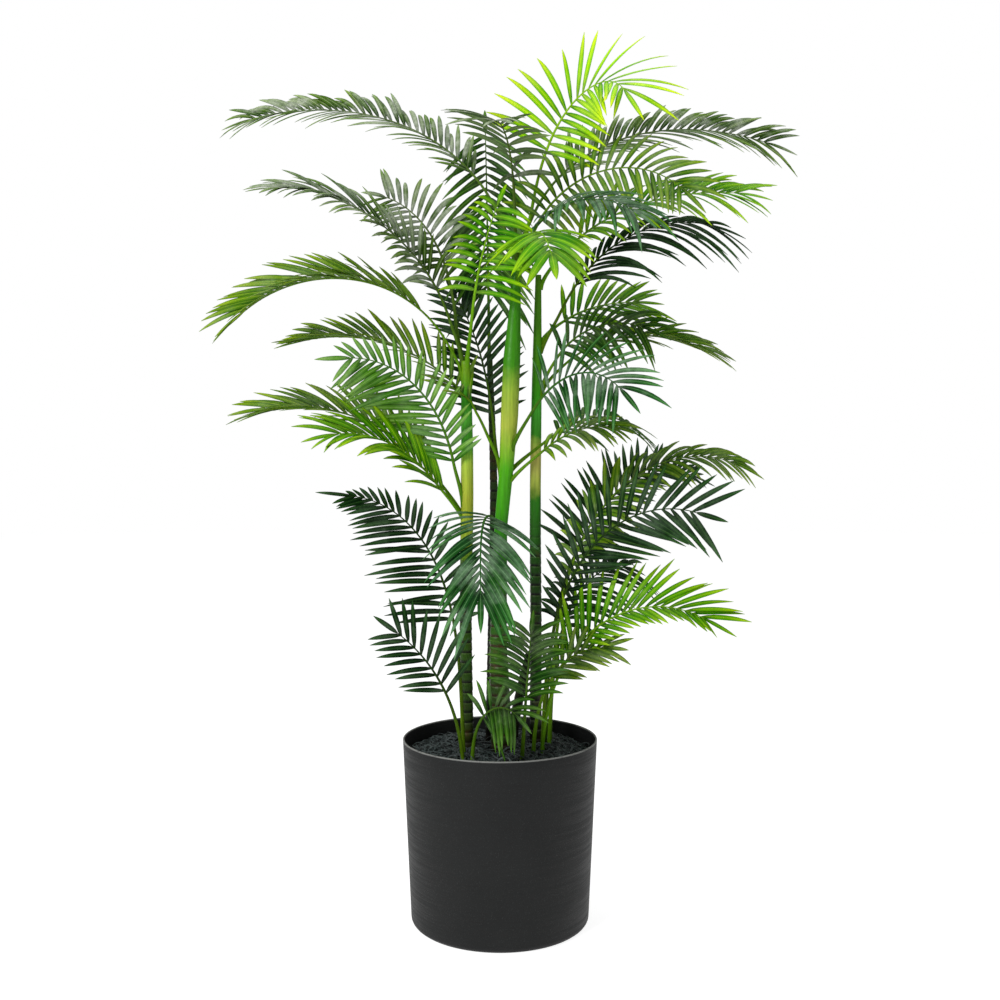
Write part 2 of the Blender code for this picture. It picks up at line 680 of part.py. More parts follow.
def stalk_holes(lines):
    """A hole in the fibre for each stalk that starts in the pot, wide enough for its lean."""
    holes = []
    for frond, line in zip(FRONDS, lines):
        if frond.foot:
            crossing = line[line[:, 2] < MOSS_MIDDLE_TOP + STALK_RADIUS]
            middle = (crossing[0] + crossing[-1]) / 2
            lean = np.linalg.norm(crossing[-1][:2] - crossing[0][:2]) / 2
            holes.append((middle[0], middle[1], STALK_RADIUS + lean + STALK_HOLE_ROOM))
    return holes


def main():
    """Builds the palm."""
    clear_scene()
    pot = make_pot()
    make_filling(cane_holes(GAP))
    lines = placed_lines()
    make_moss(cane_holes(HOLE_ROOM) + stalk_holes(lines))
    canes = [make_cane(cane) for cane in CANES]
    make_fronds(lines, [object_tree(obj) for obj in (pot, *canes)])


main()
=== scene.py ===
"""The looks of a potted palm: its pot, fibre top layer, canes and fronds.

Metres, +Z up, the pot's axis on Z and the front towards -Y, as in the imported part. Each frond
is drawn out from the same law as its solid, and carries finer and closer leaflets.
"""

import logging
import math
from dataclasses import dataclass, field
from enum import Enum
from typing import Callable, Sequence

import bmesh
import bpy
import numpy as np
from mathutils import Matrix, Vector


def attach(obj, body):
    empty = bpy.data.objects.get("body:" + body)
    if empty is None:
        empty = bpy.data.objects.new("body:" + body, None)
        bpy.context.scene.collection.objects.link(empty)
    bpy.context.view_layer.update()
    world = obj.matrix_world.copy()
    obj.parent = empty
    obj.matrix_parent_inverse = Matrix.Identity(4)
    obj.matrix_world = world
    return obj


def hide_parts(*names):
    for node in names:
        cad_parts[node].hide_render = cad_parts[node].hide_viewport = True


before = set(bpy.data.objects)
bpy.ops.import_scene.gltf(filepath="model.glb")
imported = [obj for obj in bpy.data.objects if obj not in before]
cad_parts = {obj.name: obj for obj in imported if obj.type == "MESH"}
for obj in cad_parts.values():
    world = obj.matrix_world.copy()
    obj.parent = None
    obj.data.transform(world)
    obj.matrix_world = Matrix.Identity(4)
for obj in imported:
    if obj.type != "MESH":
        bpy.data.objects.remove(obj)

LOG = logging.getLogger("potted_palm")
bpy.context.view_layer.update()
BODY = "root"
SEED = 41

Rows = Sequence[tuple[float, float, float, float]]


# ---------------------------------------------------------------- modelling


def let_go() -> None:
    """Leaves edit mode and deselects everything."""
    if bpy.context.object and bpy.context.object.mode != "OBJECT":
        bpy.ops.object.mode_set(mode="OBJECT")
    bpy.ops.object.select_all(action="DESELECT")


def pick(obj: bpy.types.Object, wanted: Callable[[Vector], bool]) -> None:
    """Selects, in edit mode, the vertices whose place passes a test.

    Args:
        obj: The object being edited.
        wanted: Says of a vertex's place whether it is picked.
    """
    body = bmesh.from_edit_mesh(obj.data)
    body.select_mode = {"VERT"}
    for vertex in body.verts:
        vertex.select_set(wanted(vertex.co))
    body.select_flush_mode()
    bmesh.update_edit_mesh(obj.data)


def apply_modifier(obj: bpy.types.Object, kind: str, **settings: object) -> None:
    """Adds a modifier to an object and applies it.

    Args:
        obj: The object.
        kind: The modifier's type.
        settings: The modifier's settings.
    """
    modifier = obj.modifiers.new(kind.lower(), kind)
    for name, value in settings.items():
        setattr(modifier, name, value)
    bpy.context.view_layer.objects.active = obj
    bpy.ops.object.modifier_apply(modifier=modifier.name)


def smooth(obj: bpy.types.Object, degrees: float) -> None:
    """Shades an object smooth, except across edges sharper than an angle."""
    let_go()
    obj.select_set(True)
    bpy.context.view_layer.objects.active = obj
    bpy.ops.object.shade_smooth_by_angle(angle=math.radians(degrees))


def drawn_rod(name: str, sides: int, rows: Rows) -> bpy.types.Object:
    """A closed round body drawn up from a disc, one extrusion for each row.

    Args:
        name: The object's name.
        sides: How many sides its section has.
        rows: Where each ring stands: (x, y, z, radius).

    Returns:
        The body, with its rings' vertices in the order of the rows.
    """
    let_go()
    bpy.ops.mesh.primitive_circle_add(
        vertices=sides, radius=rows[0][3], fill_type="NGON", location=rows[0][:3], enter_editmode=True
    )
    obj = bpy.context.object
    obj.name = name
    for before, after in zip(rows, rows[1:]):
        shift = tuple(high - low for low, high in zip(before[:3], after[:3]))
        grow = after[3] / before[3]
        bpy.ops.mesh.extrude_region_move(TRANSFORM_OT_translate={"value": shift})
        bpy.ops.transform.resize(value=(grow, grow, 1.0), center_override=after[:3])
    bpy.ops.mesh.select_all(action="SELECT")
    bpy.ops.mesh.normals_make_consistent(inside=False)
    let_go()
    settle(obj)
    return obj


def settle(obj: bpy.types.Object) -> None:
    """Moves an object's place, turn and scale into its mesh."""
    let_go()
    obj.select_set(True)
    bpy.context.view_layer.objects.active = obj
    bpy.ops.object.transform_apply(location=True, rotation=True, scale=True)


def places(obj: bpy.types.Object) -> np.ndarray:
    """An object's vertices as an array of places."""
    found = np.zeros(len(obj.data.vertices) * 3)
    obj.data.vertices.foreach_get("co", found)
    return found.reshape(-1, 3)


def note(obj: bpy.types.Object, name: str, values: np.ndarray) -> None:
    """Stores a vector for each vertex, for the materials to read.

    Args:
        obj: The object.
        name: The attribute's name.
        values: One row of three for each vertex.
    """
    attribute = obj.data.attributes.new(name, "FLOAT_VECTOR", "POINT")
    attribute.data.foreach_set("vector", np.ascontiguousarray(values, dtype=np.float32).ravel())


def cast(pattern: bpy.types.Object, points: np.ndarray) -> bpy.types.Object:
    """A copy of a pattern piece, with its own mesh, bent to new places.

    Args:
        pattern: The piece that is copied.
        points: The copy's vertices.

    Returns:
        The copy, in the scene.
    """
    copy = pattern.copy()
    copy.data = pattern.data.copy()
    copy.data.vertices.foreach_set("co", points.ravel())
    bpy.context.scene.collection.objects.link(copy)
    return copy


def join(name: str, parts: Sequence[bpy.types.Object]) -> bpy.types.Object:
    """Joins parts into one piece, which takes the name given."""
    let_go()
    for part in parts:
        part.select_set(True)
    bpy.context.view_layer.objects.active = parts[0]
    bpy.ops.object.join()
    whole = parts[0]
    whole.name = name
    return whole


def discard(*objects: bpy.types.Object) -> None:
    """Removes pattern pieces that aren't shown."""
    for obj in objects:
        bpy.data.objects.remove(obj)


def turned_about(points: np.ndarray, axis: int, angle: float) -> np.ndarray:
    """Points turned about one of the three axes."""
    one, two = [other for other in range(3) if other != axis]
    turned = points.copy()
    turned[:, one] = points[:, one] * math.cos(angle) - points[:, two] * math.sin(angle)
    turned[:, two] = points[:, one] * math.sin(angle) + points[:, two] * math.cos(angle)
    return turned


# ---------------------------------------------------------------- finishes


def colour(code: str) -> tuple[float, float, float, float]:
    """A linear colour from its usual six-digit code."""
    parts = [int(code[at:at + 2], 16) / 255 for at in (1, 3, 5)]
    linear = [part / 12.92 if part <= 0.04045 else ((part + 0.055) / 1.055) ** 2.4 for part in parts]
    return (*linear, 1.0)


class Board:
    """A node tree, with a short way to lay and wire its nodes."""

    def __init__(self, tree: bpy.types.NodeTree) -> None:
        """Takes the tree that the nodes are laid in."""
        self.tree = tree

    def lay(self, kind: str, inputs: dict | None = None, **settings: object) -> bpy.types.Node:
        """Adds a node.

        Args:
            kind: The node's type, without its ShaderNode prefix.
            inputs: A value or another node's socket for each of its sockets, by name or number.
            settings: The node's own settings.

        Returns:
            The node.
        """
        node = self.tree.nodes.new(kind if kind.startswith("Node") else "ShaderNode" + kind)
        for name, value in settings.items():
            setattr(node, name, value)
        for key, value in (inputs or {}).items():
            if isinstance(value, bpy.types.NodeSocket):
                self.tree.links.new(value, node.inputs[key])
            else:
                node.inputs[key].default_value = value
        return node

    def math(self, operation: str, *values: object) -> bpy.types.NodeSocket:
        """The result of a sum on numbers or sockets."""
        return self.lay("Math", dict(enumerate(values)), operation=operation).outputs[0]

    def fade(
        self, value: object, low: float, high: float, start: float = 0.0, end: float = 1.0
    ) -> bpy.types.NodeSocket:
        """A smooth step from start to end as a value goes from low to high."""
        inputs = {"Value": value, "From Min": low, "From Max": high, "To Min": start, "To Max": end}
        return self.lay("MapRange", inputs, interpolation_type="SMOOTHSTEP").outputs[0]

    def mix(self, share: object, one: object, two: object, blend: str = "MIX") -> bpy.types.NodeSocket:
        """Two colours mixed by a share."""
        node = self.lay("Mix", {0: share, 6: one, 7: two}, data_type="RGBA", blend_type=blend)
        return node.outputs[2]

    def noise(
        self, place: object, scale: float, detail: float = 3.0, rough: float = 0.55
    ) -> bpy.types.NodeSocket:
        """A noise value at a place."""
        inputs = {"Vector": place, "Scale": scale, "Detail": detail, "Roughness": rough}
        return self.lay("TexNoise", inputs).outputs[0]

    def object_place(self) -> bpy.types.NodeSocket:
        """The place on the piece, in metres."""
        return self.lay("TexCoord").outputs["Object"]

    def split(self, vector: object) -> list[bpy.types.NodeSocket]:
        """The three numbers of a vector."""
        return list(self.lay("SeparateXYZ", {0: vector}).outputs)

    def noted(self, name: str) -> bpy.types.NodeSocket:
        """A vector that was stored on the piece."""
        return self.lay("Attribute", attribute_name=name).outputs["Vector"]

    def ramp(self, value: object, stops: Sequence[tuple[float, str]]) -> bpy.types.NodeSocket:
        """A colour that runs through stops.

        Args:
            value: The socket that says where on the ramp to read.
            stops: Each stop's place, from 0 to 1 in rising order, and its colour code.

        Returns:
            The colour's socket.
        """
        node = self.lay("ValToRGB", {0: value})
        band = node.color_ramp
        while len(band.elements) < len(stops):
            band.elements.new(1.0)
        for element, (place, code) in zip(band.elements, stops):
            element.position = place
        for element, (place, code) in zip(band.elements, stops):
            element.color = colour(code)
        return node.outputs[0]

    def surface(self, inputs: dict) -> None:
        """Lays the shader and the output.

        Args:
            inputs: A value or a socket for each of the shader's sockets.
        """
        shader = self.lay("BsdfPrincipled", inputs)
        self.lay("OutputMaterial", {"Surface": shader.outputs[0]})

    def bump(self, height: object, strength: float, distance: float) -> bpy.types.NodeSocket:
        """A normal that follows a height."""
        inputs = {"Height": height, "Strength": strength, "Distance": distance}
        return self.lay("Bump", inputs).outputs[0]


def new_material(name: str) -> tuple[bpy.types.Material, Board]:
    """An empty material and the board of its node tree."""
    material = bpy.data.materials.new(name)
    material.use_nodes = True
    material.node_tree.nodes.clear()
    return material, Board(material.node_tree)


def new_group(
    name: str, takes: dict[str, str], gives: dict[str, str]
) -> tuple[bpy.types.NodeTree, Board, dict, bpy.types.Node]:
    """An empty node group.

    Args:
        name: The group's name.
        takes: The kind of each input, by name.
        gives: The kind of each output, by name.

    Returns:
        The group, its board, its inputs' sockets by name, and the node that its results go to.
    """
    tree = bpy.data.node_groups.new(name, "ShaderNodeTree")
    for title, kind in takes.items():
        tree.interface.new_socket(title, in_out="INPUT", socket_type="NodeSocket" + kind)
    for title, kind in gives.items():
        tree.interface.new_socket(title, in_out="OUTPUT", socket_type="NodeSocket" + kind)
    board = Board(tree)
    source = board.lay("NodeGroupInput")
    return tree, board, {title: source.outputs[title] for title in takes}, board.lay("NodeGroupOutput")


def mottle_group() -> bpy.types.NodeTree:
    """Soft blotches: a mask that most of the finishes use."""
    tree, board, takes, result = new_group(
        "mottle", {"Place": "Vector", "Scale": "Float", "Low": "Float", "High": "Float"}, {"Mask": "Float"}
    )
    noise = board.noise(takes["Place"], 1.0, 4.0, 0.6)
    noise.node.inputs["Scale"].default_value = 1.0
    board.tree.links.new(takes["Scale"], noise.node.inputs["Scale"])
    tree.links.new(board.fade(noise, takes["Low"], takes["High"]), result.inputs["Mask"])
    return tree


def streak_group() -> bpy.types.NodeTree:
    """Fine streaks along one direction: a mask and a height, for the pot, the canes and the stalks."""
    tree, board, takes, result = new_group(
        "streaks", {"Place": "Vector", "Stretch": "Vector"}, {"Mask": "Float", "Height": "Float"}
    )
    factors = {0: takes["Place"], 1: takes["Stretch"]}
    scaled = board.lay("VectorMath", factors, operation="MULTIPLY").outputs[0]
    coarse = board.noise(scaled, 1.0, 3.0, 0.6)
    fine = board.noise(scaled, 3.1, 2.0, 0.7)
    both = board.math("ADD", board.math("MULTIPLY", coarse, 0.6), board.math("MULTIPLY", fine, 0.4))
    tree.links.new(board.fade(both, 0.36, 0.64), result.inputs["Mask"])
    tree.links.new(both, result.inputs["Height"])
    return tree


def leaf_group() -> bpy.types.NodeTree:
    """The print of a leaflet: its colour from root to tip, partly painted shade at the root, its rib and its
    veins.
    """
    colours = {title: "Color" for title in ("Deep", "Body", "Tip", "Rib", "Underside")}
    tree, board, takes, result = new_group(
        "leaf_print",
        {"Leaf": "Vector", "Frond": "Vector", **colours},
        {"Colour": "Color", "Height": "Float", "Top": "Float"},
    )
    along, across, face = board.split(takes["Leaf"])
    _, tint, _ = board.split(takes["Frond"])
    # Painted shade, in part: each leaflet darkens to the Deep colour at its root, where the leaflets crowd
    # the stalk; the rest of that grade is the print's own.
    grown = board.mix(board.fade(along, 0.0, 0.38), takes["Deep"], takes["Body"])
    tipped = board.mix(board.fade(along, 0.45, 1.0, 0.0, 0.9), grown, takes["Tip"])
    aside = board.math("ABSOLUTE", across)
    vein = board.fade(board.math("SINE", board.math("MULTIPLY", across, 19.0)), -0.2, 1.0)
    edge = board.fade(aside, 0.45, 1.0, 0.0, 0.75)
    edged = board.mix(edge, tipped, takes["Deep"])
    veined = board.mix(board.math("MULTIPLY", vein, 0.30), edged, takes["Deep"])
    rib = board.fade(aside, 0.05, 0.16, 1.0, 0.0)
    ribbed = board.mix(board.math("MULTIPLY", rib, 0.55), veined, takes["Rib"])
    top = board.fade(face, -0.3, 0.3)
    below = board.math("MULTIPLY", board.math("SUBTRACT", 1.0, top), 0.55)
    faced = board.mix(below, ribbed, takes["Underside"])
    hue = board.math("MULTIPLY_ADD", tint, -0.014, 0.5)
    value = board.math("MULTIPLY_ADD", tint, 0.30, 1.0)
    shift = {"Hue": hue, "Saturation": 1.0, "Value": value, "Color": faced}
    varied = board.lay("HueSaturation", shift).outputs[0]
    height = board.math("SUBTRACT", board.math("MULTIPLY", rib, 0.8), board.math("MULTIPLY", vein, 0.35))
    tree.links.new(varied, result.inputs["Colour"])
    tree.links.new(height, result.inputs["Height"])
    tree.links.new(top, result.inputs["Top"])
    return tree


@dataclass(frozen=True)
class Effects:
    """The node groups that the finishes share."""

    mottle: bpy.types.NodeTree = field(default_factory=mottle_group)
    streaks: bpy.types.NodeTree = field(default_factory=streak_group)
    leaf: bpy.types.NodeTree = field(default_factory=leaf_group)

    def mottled(
        self, board: Board, place: object, scale: float, low: float, high: float
    ) -> bpy.types.NodeSocket:
        """A mottle mask laid on a board."""
        inputs = {"Place": place, "Scale": scale, "Low": low, "High": high}
        return board.lay("Group", inputs, node_tree=self.mottle).outputs["Mask"]

    def streaked(self, board: Board, place: object, stretch: tuple[float, float, float]) -> bpy.types.Node:
        """A streak node laid on a board."""
        return board.lay("Group", {"Place": place, "Stretch": stretch}, node_tree=self.streaks)


@dataclass(frozen=True)
class LeafFinish:
    """Printed satin leaf cloth on a coloured stalk, with a painted glint in pale blotches on the upper faces.
    """

    name: str
    deep: str
    body: str
    tip: str
    rib: str
    underside: str
    # The glint colour and its amount paint a highlight in pale blotches on the leaflets' upper faces.
    painted_glint: str
    painted_glint_amount: float
    stalk_low: str
    stalk_high: str
    roughness: float = 0.46

    def material(self, effects: Effects) -> bpy.types.Material:
        """Builds the finish.

        Args:
            effects: The shared node groups.

        Returns:
            The material.
        """
        material, board = new_material(self.name)
        leaf, frond, place = board.noted("leaf"), board.noted("frond"), board.object_place()
        codes = {
            "Deep": self.deep, "Body": self.body, "Tip": self.tip,
            "Rib": self.rib, "Underside": self.underside,
        }
        inputs = {"Leaf": leaf, "Frond": frond} | {title: colour(code) for title, code in codes.items()}
        printed = board.lay("Group", inputs, node_tree=effects.leaf)
        # Painted highlight: broad and fine blotches on the upper faces take the glint colour, standing for
        # the satin's sheen; the same blotches also set the roughness.
        grain = effects.mottled(board, place, 130.0, 0.34, 0.76)
        patch = effects.mottled(board, place, 15.0, 0.40, 0.66)
        blotch = board.math("MULTIPLY", patch, board.math("MULTIPLY_ADD", grain, 0.5, 0.5))
        upper = board.math("MULTIPLY", blotch, printed.outputs["Top"])
        painted_glint_share = board.math("MULTIPLY", upper, self.painted_glint_amount)
        sheened = board.mix(painted_glint_share, printed.outputs["Colour"], colour(self.painted_glint))
        reach, _, _ = board.split(frond)
        streak = effects.streaked(board, place, (150.0, 150.0, 30.0))
        stalk = board.mix(board.fade(reach, 0.05, 0.7), colour(self.stalk_low), colour(self.stalk_high))
        lined = board.mix(board.math("MULTIPLY", streak.outputs["Mask"], 0.35), stalk, colour(self.deep))
        blade = board.fade(board.math("ABSOLUTE", board.split(leaf)[2]), 0.2, 0.6)
        whole = board.mix(blade, lined, sheened)
        veins = board.math("MULTIPLY", printed.outputs["Height"], blade)
        height = board.math("ADD", veins, streak.outputs["Height"])
        board.surface({
            "Base Color": whole,
            "Roughness": board.fade(blotch, 0.0, 1.0, self.roughness + 0.10, self.roughness - 0.06),
            "Specular IOR Level": 0.06,
            "Normal": board.bump(height, 0.55, 0.0007),
        })
        return material


class Finish(Enum):
    """The leaf finishes, from the palest to the darkest. Each one's sixth colour and the share after it are a
    painted glint.
    """

    # Painted light, in part: LIME's bright yellow body and tip are partly the leaf's own colour and partly
    # light shining through the leaflets.
    LIME = LeafFinish(
        "leaf_lime", "#2f8000", "#84c800", "#d4f000", "#dcf42c", "#8cc804", "#e4f67a",
        0.22, "#5f8a12", "#96c41c", 0.42,
    )
    BRIGHT = LeafFinish(
        "leaf_bright", "#1a5c00", "#509c00", "#9ccc06", "#a4cc24", "#68a40c", "#c0e060",
        0.22, "#5f9212", "#7cb01a",
    )
    FRESH = LeafFinish(
        "leaf_fresh", "#245a06", "#589422", "#86b848", "#9cc868", "#649c38", "#bcd8a4",
        0.28, "#4f7a14", "#4a7a24",
    )
    OLIVE = LeafFinish(
        "leaf_olive", "#1c4402", "#4e7e06", "#86a814", "#9cb038", "#628428", "#b4c490",
        0.32, "#5c8a12", "#64881a",
    )
    # Painted sheen: SLATE's strong pale glint stands for the top light reflected on the leaflets, which makes
    # them look grey.
    SLATE = LeafFinish(
        "leaf_slate", "#143004", "#446418", "#6e9826", "#98a480", "#667a54", "#ccd0c4",
        0.56, "#4c6c1c", "#54682c",
    )
    TEAL = LeafFinish(
        "leaf_teal", "#042208", "#184e16", "#42883a", "#6c9a62", "#346832", "#b0d0ae",
        0.38, "#4a7410", "#2c6022", 0.40,
    )
    FOREST = LeafFinish(
        "leaf_forest", "#0a2802", "#265408", "#4e821c", "#648a3c", "#3a6424", "#98ac80",
        0.26, "#5a8410", "#42641a",
    )
    # Painted shade, in part: NIGHT's near-black greens are partly the leaf's own dark colour and partly the
    # shade on fronds low in and behind the crown.
    NIGHT = LeafFinish(
        "leaf_night", "#031203", "#0e2e0c", "#2a5820", "#40602f", "#1e3c1a", "#809c7c",
        0.22, "#56780c", "#223c10",
    )


@dataclass(frozen=True)
class CaneFinish:
    """Satin cane with darker rings and a painted highlight just below each ring, coloured by height."""

    name: str
    bands: tuple[tuple[float, str], ...]
    ring: str
    ring_fade: tuple[float, float]
    roughness: float = 0.34
    # lip sets how strong the painted highlight below each ring is.
    lip: float = 0.20
    low: float = 0.30
    high: float = 1.40

    def material(self, effects: Effects) -> bpy.types.Material:
        """Builds the finish.

        Args:
            effects: The shared node groups.

        Returns:
            The material.
        """
        material, board = new_material(self.name)
        place = board.object_place()
        height = board.split(place)[2]
        wander = board.math("MULTIPLY_ADD", board.noise(place, 45.0), 0.03, -0.015)
        reading = {"Value": board.math("ADD", height, wander), "From Min": self.low, "From Max": self.high}
        level = board.lay("MapRange", reading).outputs[0]
        span = self.high - self.low
        banded = board.ramp(level, [((z - self.low) / span, code) for z, code in self.bands])
        streak = effects.streaked(board, place, (260.0, 260.0, 9.0))
        lined = board.mix(board.math("MULTIPLY", streak.outputs["Mask"], 0.30), banded, colour("#20380c"))
        round_cane, along, _ = board.split(board.noted("cane"))
        ringed = board.fade(height, self.ring_fade[0], self.ring_fade[1], 1.0, 0.0)
        band = board.math("MULTIPLY", board.fade(along, 0.10, 0.42, 1.0, 0.0), ringed)
        broken = board.math("MULTIPLY", band, effects.mottled(board, place, 60.0, 0.22, 0.48))
        circled = board.mix(broken, lined, colour(self.ring))
        # Painted highlight: a pale line just below each ring.
        lip = board.math("MULTIPLY", board.math("MULTIPLY", board.fade(along, 0.80, 0.97), ringed), self.lip)
        lip_highlighted = board.mix(lip, circled, colour("#8a9a6a"))
        spots = effects.mottled(board, place, 34.0, 0.54, 0.70)
        stain = board.math("MULTIPLY", spots, board.math("MULTIPLY", ringed, 0.55))
        stained = board.mix(stain, lip_highlighted, colour("#4a3417"))
        foot = board.fade(height, 0.365, 0.395, 0.85, 0.0)
        board.surface({
            "Base Color": board.mix(foot, stained, colour("#1d160d")),
            "Roughness": board.fade(streak.outputs["Mask"], 0.0, 1.0, self.roughness, self.roughness + 0.2),
            "Specular IOR Level": 0.18,
            "Coat Weight": 0.05,
            "Coat Roughness": 0.25,
            "Normal": board.bump(streak.outputs["Height"], 0.5, 0.0012),
        })
        return material


@dataclass(frozen=True)
class PotFinish:
    """Matt black moulding with fine level streaks, speckle and a painted highlight along the rim's top."""

    name: str = "pot_matt_black"
    rim_height: float = 0.378

    def material(self, effects: Effects) -> bpy.types.Material:
        """Builds the finish."""
        material, board = new_material(self.name)
        place = board.object_place()
        height = board.split(place)[2]
        streak = effects.streaked(board, place, (5.0, 5.0, 210.0))
        speck = effects.mottled(board, place, 520.0, 0.56, 0.70)
        cloud = effects.mottled(board, place, 9.0, 0.30, 0.75)
        clouded = board.mix(cloud, colour("#0e0f0f"), colour("#151616"))
        streaked = board.mix(board.math("MULTIPLY", streak.outputs["Mask"], 0.55), clouded, colour("#1c1e1e"))
        specked = board.mix(board.math("MULTIPLY", speck, 0.45), streaked, colour("#363838"))
        # Painted highlight: a pale line along the top of the rim, broken by a mottle.
        rim_band = board.fade(height, self.rim_height - 0.0035, self.rim_height - 0.0012)
        rim_highlight = board.math("MULTIPLY", rim_band, effects.mottled(board, place, 60.0, 0.15, 0.5))
        rough = board.fade(streak.outputs["Mask"], 0.0, 1.0, 0.50, 0.64)
        tall = board.math("ADD", streak.outputs["Height"], board.math("MULTIPLY", speck, 0.5))
        board.surface({
            "Base Color": board.mix(rim_highlight, specked, colour("#7e7f7c")),
            "Roughness": rough,
            "Specular IOR Level": 0.22,
            "Normal": board.bump(tall, 0.35, 0.0010),
        })
        return material


@dataclass(frozen=True)
class FibreFinish:
    """Dull fibre or filling, mottled and rough."""

    name: str
    dark: str
    pale: str
    scale: float
    depth: float
    roughness: float = 0.8

    def material(self, effects: Effects) -> bpy.types.Material:
        """Builds the finish."""
        material, board = new_material(self.name)
        place = board.object_place()
        clump = effects.mottled(board, place, self.scale, 0.38, 0.66)
        streak = effects.streaked(board, place, (self.scale * 3, self.scale, self.scale * 2))
        tone = board.math("MULTIPLY", board.math("ADD", clump, streak.outputs["Mask"]), 0.5)
        tall = board.math("ADD", clump, streak.outputs["Height"])
        board.surface({
            "Base Color": board.mix(tone, colour(self.dark), colour(self.pale)),
            "Roughness": board.fade(clump, 0.0, 1.0, self.roughness + 0.1, self.roughness - 0.1),
            "Normal": board.bump(tall, 0.9, self.depth),
        })
        return material


# ---------------------------------------------------------------- pot


def finish_piece(obj: bpy.types.Object, material: bpy.types.Material, slot: str, *nodes: str) -> None:
    """Dresses a piece, puts it on the body and hides the solids that it replaces.

    Args:
        obj: The piece.
        material: Its finish.
        slot: Not used.
        nodes: The solids that it replaces.
    """
    obj.data.materials.clear()
    obj.data.materials.append(material)
    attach(obj, BODY)
    if nodes:
        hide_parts(*nodes)
    LOG.info("%s: %d faces", obj.name, len(obj.data.polygons))


@dataclass
class Pot:
    """The pot: a slightly tapered wall, a rounded foot and a rounded rim."""

    height: float = 0.378
    rim_radius: float = 0.200
    foot_radius: float = 0.183
    wall: float = 0.0035
    floor: float = 0.006
    fillet: float = 0.012
    sides: int = 144
    fillet_steps: int = 6
    wall_steps: int = 12
    rim_steps: int = 6

    def outside(self, height: float) -> float:
        """The outer radius at a height."""
        return self.foot_radius + (self.rim_radius - self.foot_radius) * height / self.height

    def rows(self) -> list[tuple[float, float, float, float]]:
        """The rings that the pot is drawn through, from its underside round to its inner floor."""
        foot = self.outside(self.fillet)
        rows = []
        for step in range(self.fillet_steps + 1):
            angle = math.radians(90 * step / self.fillet_steps)
            radius = foot - self.fillet * (1 - math.sin(angle))
            rows.append((0.0, 0.0, self.fillet * (1 - math.cos(angle)), radius))
        lip = self.wall / 2
        rim = self.height - lip
        for step in range(1, self.wall_steps + 1):
            height = self.fillet + (rim - self.fillet) * step / self.wall_steps
            rows.append((0.0, 0.0, height, self.outside(height)))
        middle = self.outside(rim) - lip
        for step in range(1, self.rim_steps + 1):
            angle = math.radians(180 * step / self.rim_steps)
            rows.append((0.0, 0.0, rim + lip * math.sin(angle), middle + lip * math.cos(angle)))
        for step in range(self.wall_steps - 1, 0, -1):
            height = self.floor + (rim - self.floor) * step / self.wall_steps
            rows.append((0.0, 0.0, height, self.outside(height) - self.wall))
        rows.append((0.0, 0.0, self.floor, foot - self.wall - self.fillet / 2))
        return rows

    def build(self, effects: Effects) -> bpy.types.Object:
        """Models and dresses the pot."""
        pot = drawn_rod("pot_shell", self.sides, self.rows())
        smooth(pot, 40)
        finish_piece(pot, PotFinish(rim_height=self.height).material(effects), "pot", "pot")
        return pot


